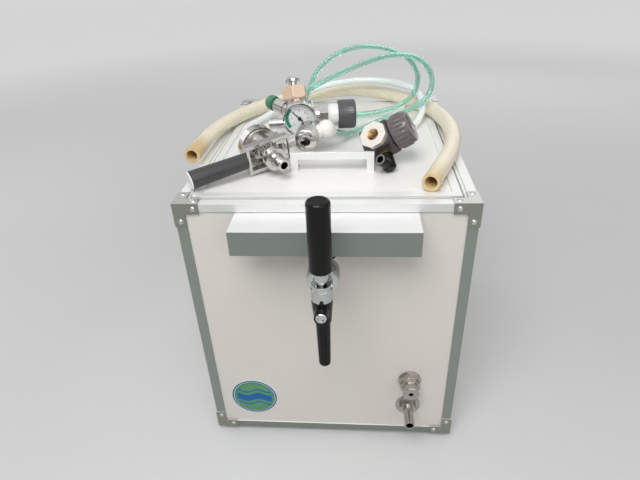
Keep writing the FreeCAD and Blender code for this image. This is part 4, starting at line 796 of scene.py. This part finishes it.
def mini_details():
    """The threaded brass sleeve in the small regulator's port, and the elbow's ring."""
    port = MOUNTS["cartridge_port"]
    top = THREAD_START + 0.0002
    profile = [(THREAD_OUTER, top), (THREAD_ROOT, top)]
    for i in range(THREAD_TURNS):
        profile += [(THREAD_ROOT, THREAD_START - i * THREAD_PITCH),
                    (THREAD_CREST, THREAD_START - (i + 0.5) * THREAD_PITCH)]
    bottom = THREAD_START - THREAD_TURNS * THREAD_PITCH
    profile += [(THREAD_CREST, bottom), (THREAD_OUTER, bottom), (THREAD_OUTER, top)]
    thread = lathe(profile, facing(port["pos_m"], port["axis"]), SMALL_SIDES)
    piece("port_thread", *thread, "lid", "nut_brass", BRASS)
    socket = MOUNTS["elbow_socket"]
    ring = [(0.0042, -0.0006), (0.0044, 0.0002), (0.0062, 0.0002), (0.0064, -0.0006),
            (0.0042, -0.0006)]
    piece("elbow_ring", *lathe(ring, facing(socket["pos_m"], socket["axis"])), "push_in_elbow",
          "elbow_black", GREY_PLASTIC)


def badge_wave(middle, half, place):
    """A wavy bar across the badge, as shares of its radius."""
    upper, lower = [], []
    reach = BADGE_WAVE_REACH * math.sqrt(1 - (abs(middle) + half) ** 2)
    for i in range(BADGE_WAVE_STEPS + 1):
        t = -1 + 2 * i / BADGE_WAVE_STEPS
        rise = BADGE_WAVE_RISE * math.sin(math.pi * t * BADGE_WAVE_HALVES + BADGE_WAVE_LEAD)
        upper.append((BADGE_R * reach * t, BADGE_R * (middle + rise + half)))
        lower.append((BADGE_R * reach * t, BADGE_R * (middle + rise - half)))
    return slab(upper + lower[::-1], *BADGE_RAISED, place)


def badge_bead(i, place):
    """One of the small dots in a ring on the badge."""
    angle = 2 * math.pi * i / BADGE_BEADS
    ring = BADGE_BEAD_RING * BADGE_R
    x, y = ring * math.cos(angle), ring * math.sin(angle)
    outline = [(x + px, y + py) for px, py in arc(BADGE_BEAD_R * BADGE_R, 0, 330, 11)]
    return slab(outline, *BADGE_RAISED, place)


def badge_face():
    """A plain round badge: a blue ring, and a green field with blue waves and dark beads."""
    place = front_frame("badge", (0, -1, 0), (1, 0, 0))[0]
    inner, outer = (BADGE_R * share for share in BADGE_RING)
    ring = [(inner, -INK_T), (outer, -INK_T), (outer, INK_T), (inner, INK_T), (inner, -INK_T)]
    edge = BADGE_R * BADGE_FIELD
    field = [(0, -INK_T), (edge, -INK_T), (edge, INK_T), (0, INK_T)]
    for name, outline, material in (("badge_ring", ring, BADGE_BLUE),
                                    ("badge_field", field, BADGE_GREEN)):
        piece(name, *lathe(outline, place, BADGE_SIDES), "cabinet", "badge_face", material)
    waves = [badge_wave(middle, half, place) for middle, half in BADGE_WAVES]
    beads = [badge_bead(i, place) for i in range(BADGE_BEADS)]
    for name, shapes, material in (("badge_wave", waves, BADGE_BLUE),
                                   ("badge_beads", beads, BADGE_DARK)):
        piece(name, *both(*shapes), "cabinet", "badge_face", material, smooth=False)


# ---------------------------------------------------------------- the setting
def make_floor():
    """A pale floor. What the camera alone sees grows paler with the distance."""
    reach = FLOOR_REACH
    data = bpy.data.meshes.new("floor")
    data.from_pydata([(-reach, -reach, 0), (reach, -reach, 0), (reach, reach, 0),
                      (-reach, reach, 0)], [], [(0, 1, 2, 3)])
    made, tree, base = shader("floor")
    tree.links.new(mixed(tree, noise(tree, 3.0), *FLOOR_COLOURS), base.inputs["Base Color"])
    far = add(tree, "VectorMath", operation="LENGTH")
    tree.links.new(add(tree, "TexCoord").outputs["Object"], far.inputs[0])
    glow = ranged(tree, far.outputs["Value"], *FLOOR_GLOW, *FLOOR_GLOW_FROM)
    seen = add(tree, "LightPath").outputs["Is Camera Ray"]
    tree.links.new(maths(tree, "MULTIPLY", glow, seen), base.inputs["Emission Strength"])
    settle(base, {"Roughness": FLOOR_ROUGH, "Emission Color": (1.0, 1.0, 1.0, 1)})
    data.materials.append(made)
    put("floor", data)


def make_world():
    """Even light, with a plain backdrop for the camera and a banded sky for reflections."""
    world = bpy.data.worlds.new("studio")
    bpy.context.scene.world = world
    world.use_nodes = True
    tree = world.node_tree
    tree.nodes.clear()
    sky = add(tree, "ValToRGB")
    ramp = sky.color_ramp
    while len(ramp.elements) < len(SKY):
        ramp.elements.new(0.5)
    for element, (height, grey) in zip(ramp.elements, SKY):
        element.position = height
        element.color = (grey, grey, grey, 1)
    tree.links.new(coordinates(tree, "Generated")["Z"], sky.inputs[0])
    ray = add(tree, "LightPath").outputs
    light, seen = add(tree, "Background"), add(tree, "Background")
    settle(light, {"Color": (*AMBIENT_COLOUR, 1), "Strength": AMBIENT})
    seen.inputs["Strength"].default_value = 1.0
    tree.links.new(mixed(tree, ray["Is Glossy Ray"], BACKDROP, sky.outputs["Color"]),
                   seen.inputs["Color"])
    mirrored = maths(tree, "MAXIMUM", ray["Is Glossy Ray"], ray["Is Transmission Ray"])
    mix = add(tree, "MixShader")
    tree.links.new(maths(tree, "MAXIMUM", ray["Is Camera Ray"], mirrored), mix.inputs[0])
    tree.links.new(light.outputs[0], mix.inputs[1])
    tree.links.new(seen.outputs[0], mix.inputs[2])
    tree.links.new(mix.outputs[0], add(tree, "OutputWorld").inputs[0])


def make_lamps():
    for name, place, watts, size in LAMPS:
        data = bpy.data.lights.new(name, "AREA")
        data.energy = watts
        data.size = size
        put(name, data).matrix_world = facing(place, Vector(place) - Vector(LAMP_AIM))


def make_camera():
    yaw, pitch, roll = (math.radians(a) for a in (CAMERA_YAW, CAMERA_PITCH, CAMERA_ROLL))
    look = Vector((math.sin(yaw) * math.cos(pitch), math.cos(yaw) * math.cos(pitch),
                   -math.sin(pitch)))
    right = Vector((math.cos(yaw), -math.sin(yaw), 0))
    up = right.cross(look)
    tilted = right * math.cos(roll) + up * math.sin(roll)
    above = up * math.cos(roll) - right * math.sin(roll)
    data = bpy.data.cameras.new("camera")
    data.lens = CAMERA_LENS
    data.sensor_width = CAMERA_SENSOR
    data.clip_start = CAMERA_NEAR
    camera = put("camera", data)
    turn = Matrix((tilted, above, -look)).transposed().to_4x4()
    camera.matrix_world = Matrix.Translation(Vector(CAMERA_PLACE)) @ turn
    bpy.context.scene.camera = camera


paint_nodes()
gauge_details()
regulator_knob()
mini_knob()
coupling_nut()
coupler_details()
mini_details()
badge_face()
make_hoses()
make_floor()
make_world()
make_lamps()
make_camera()
bpy.context.scene.view_settings.view_transform = "Standard"
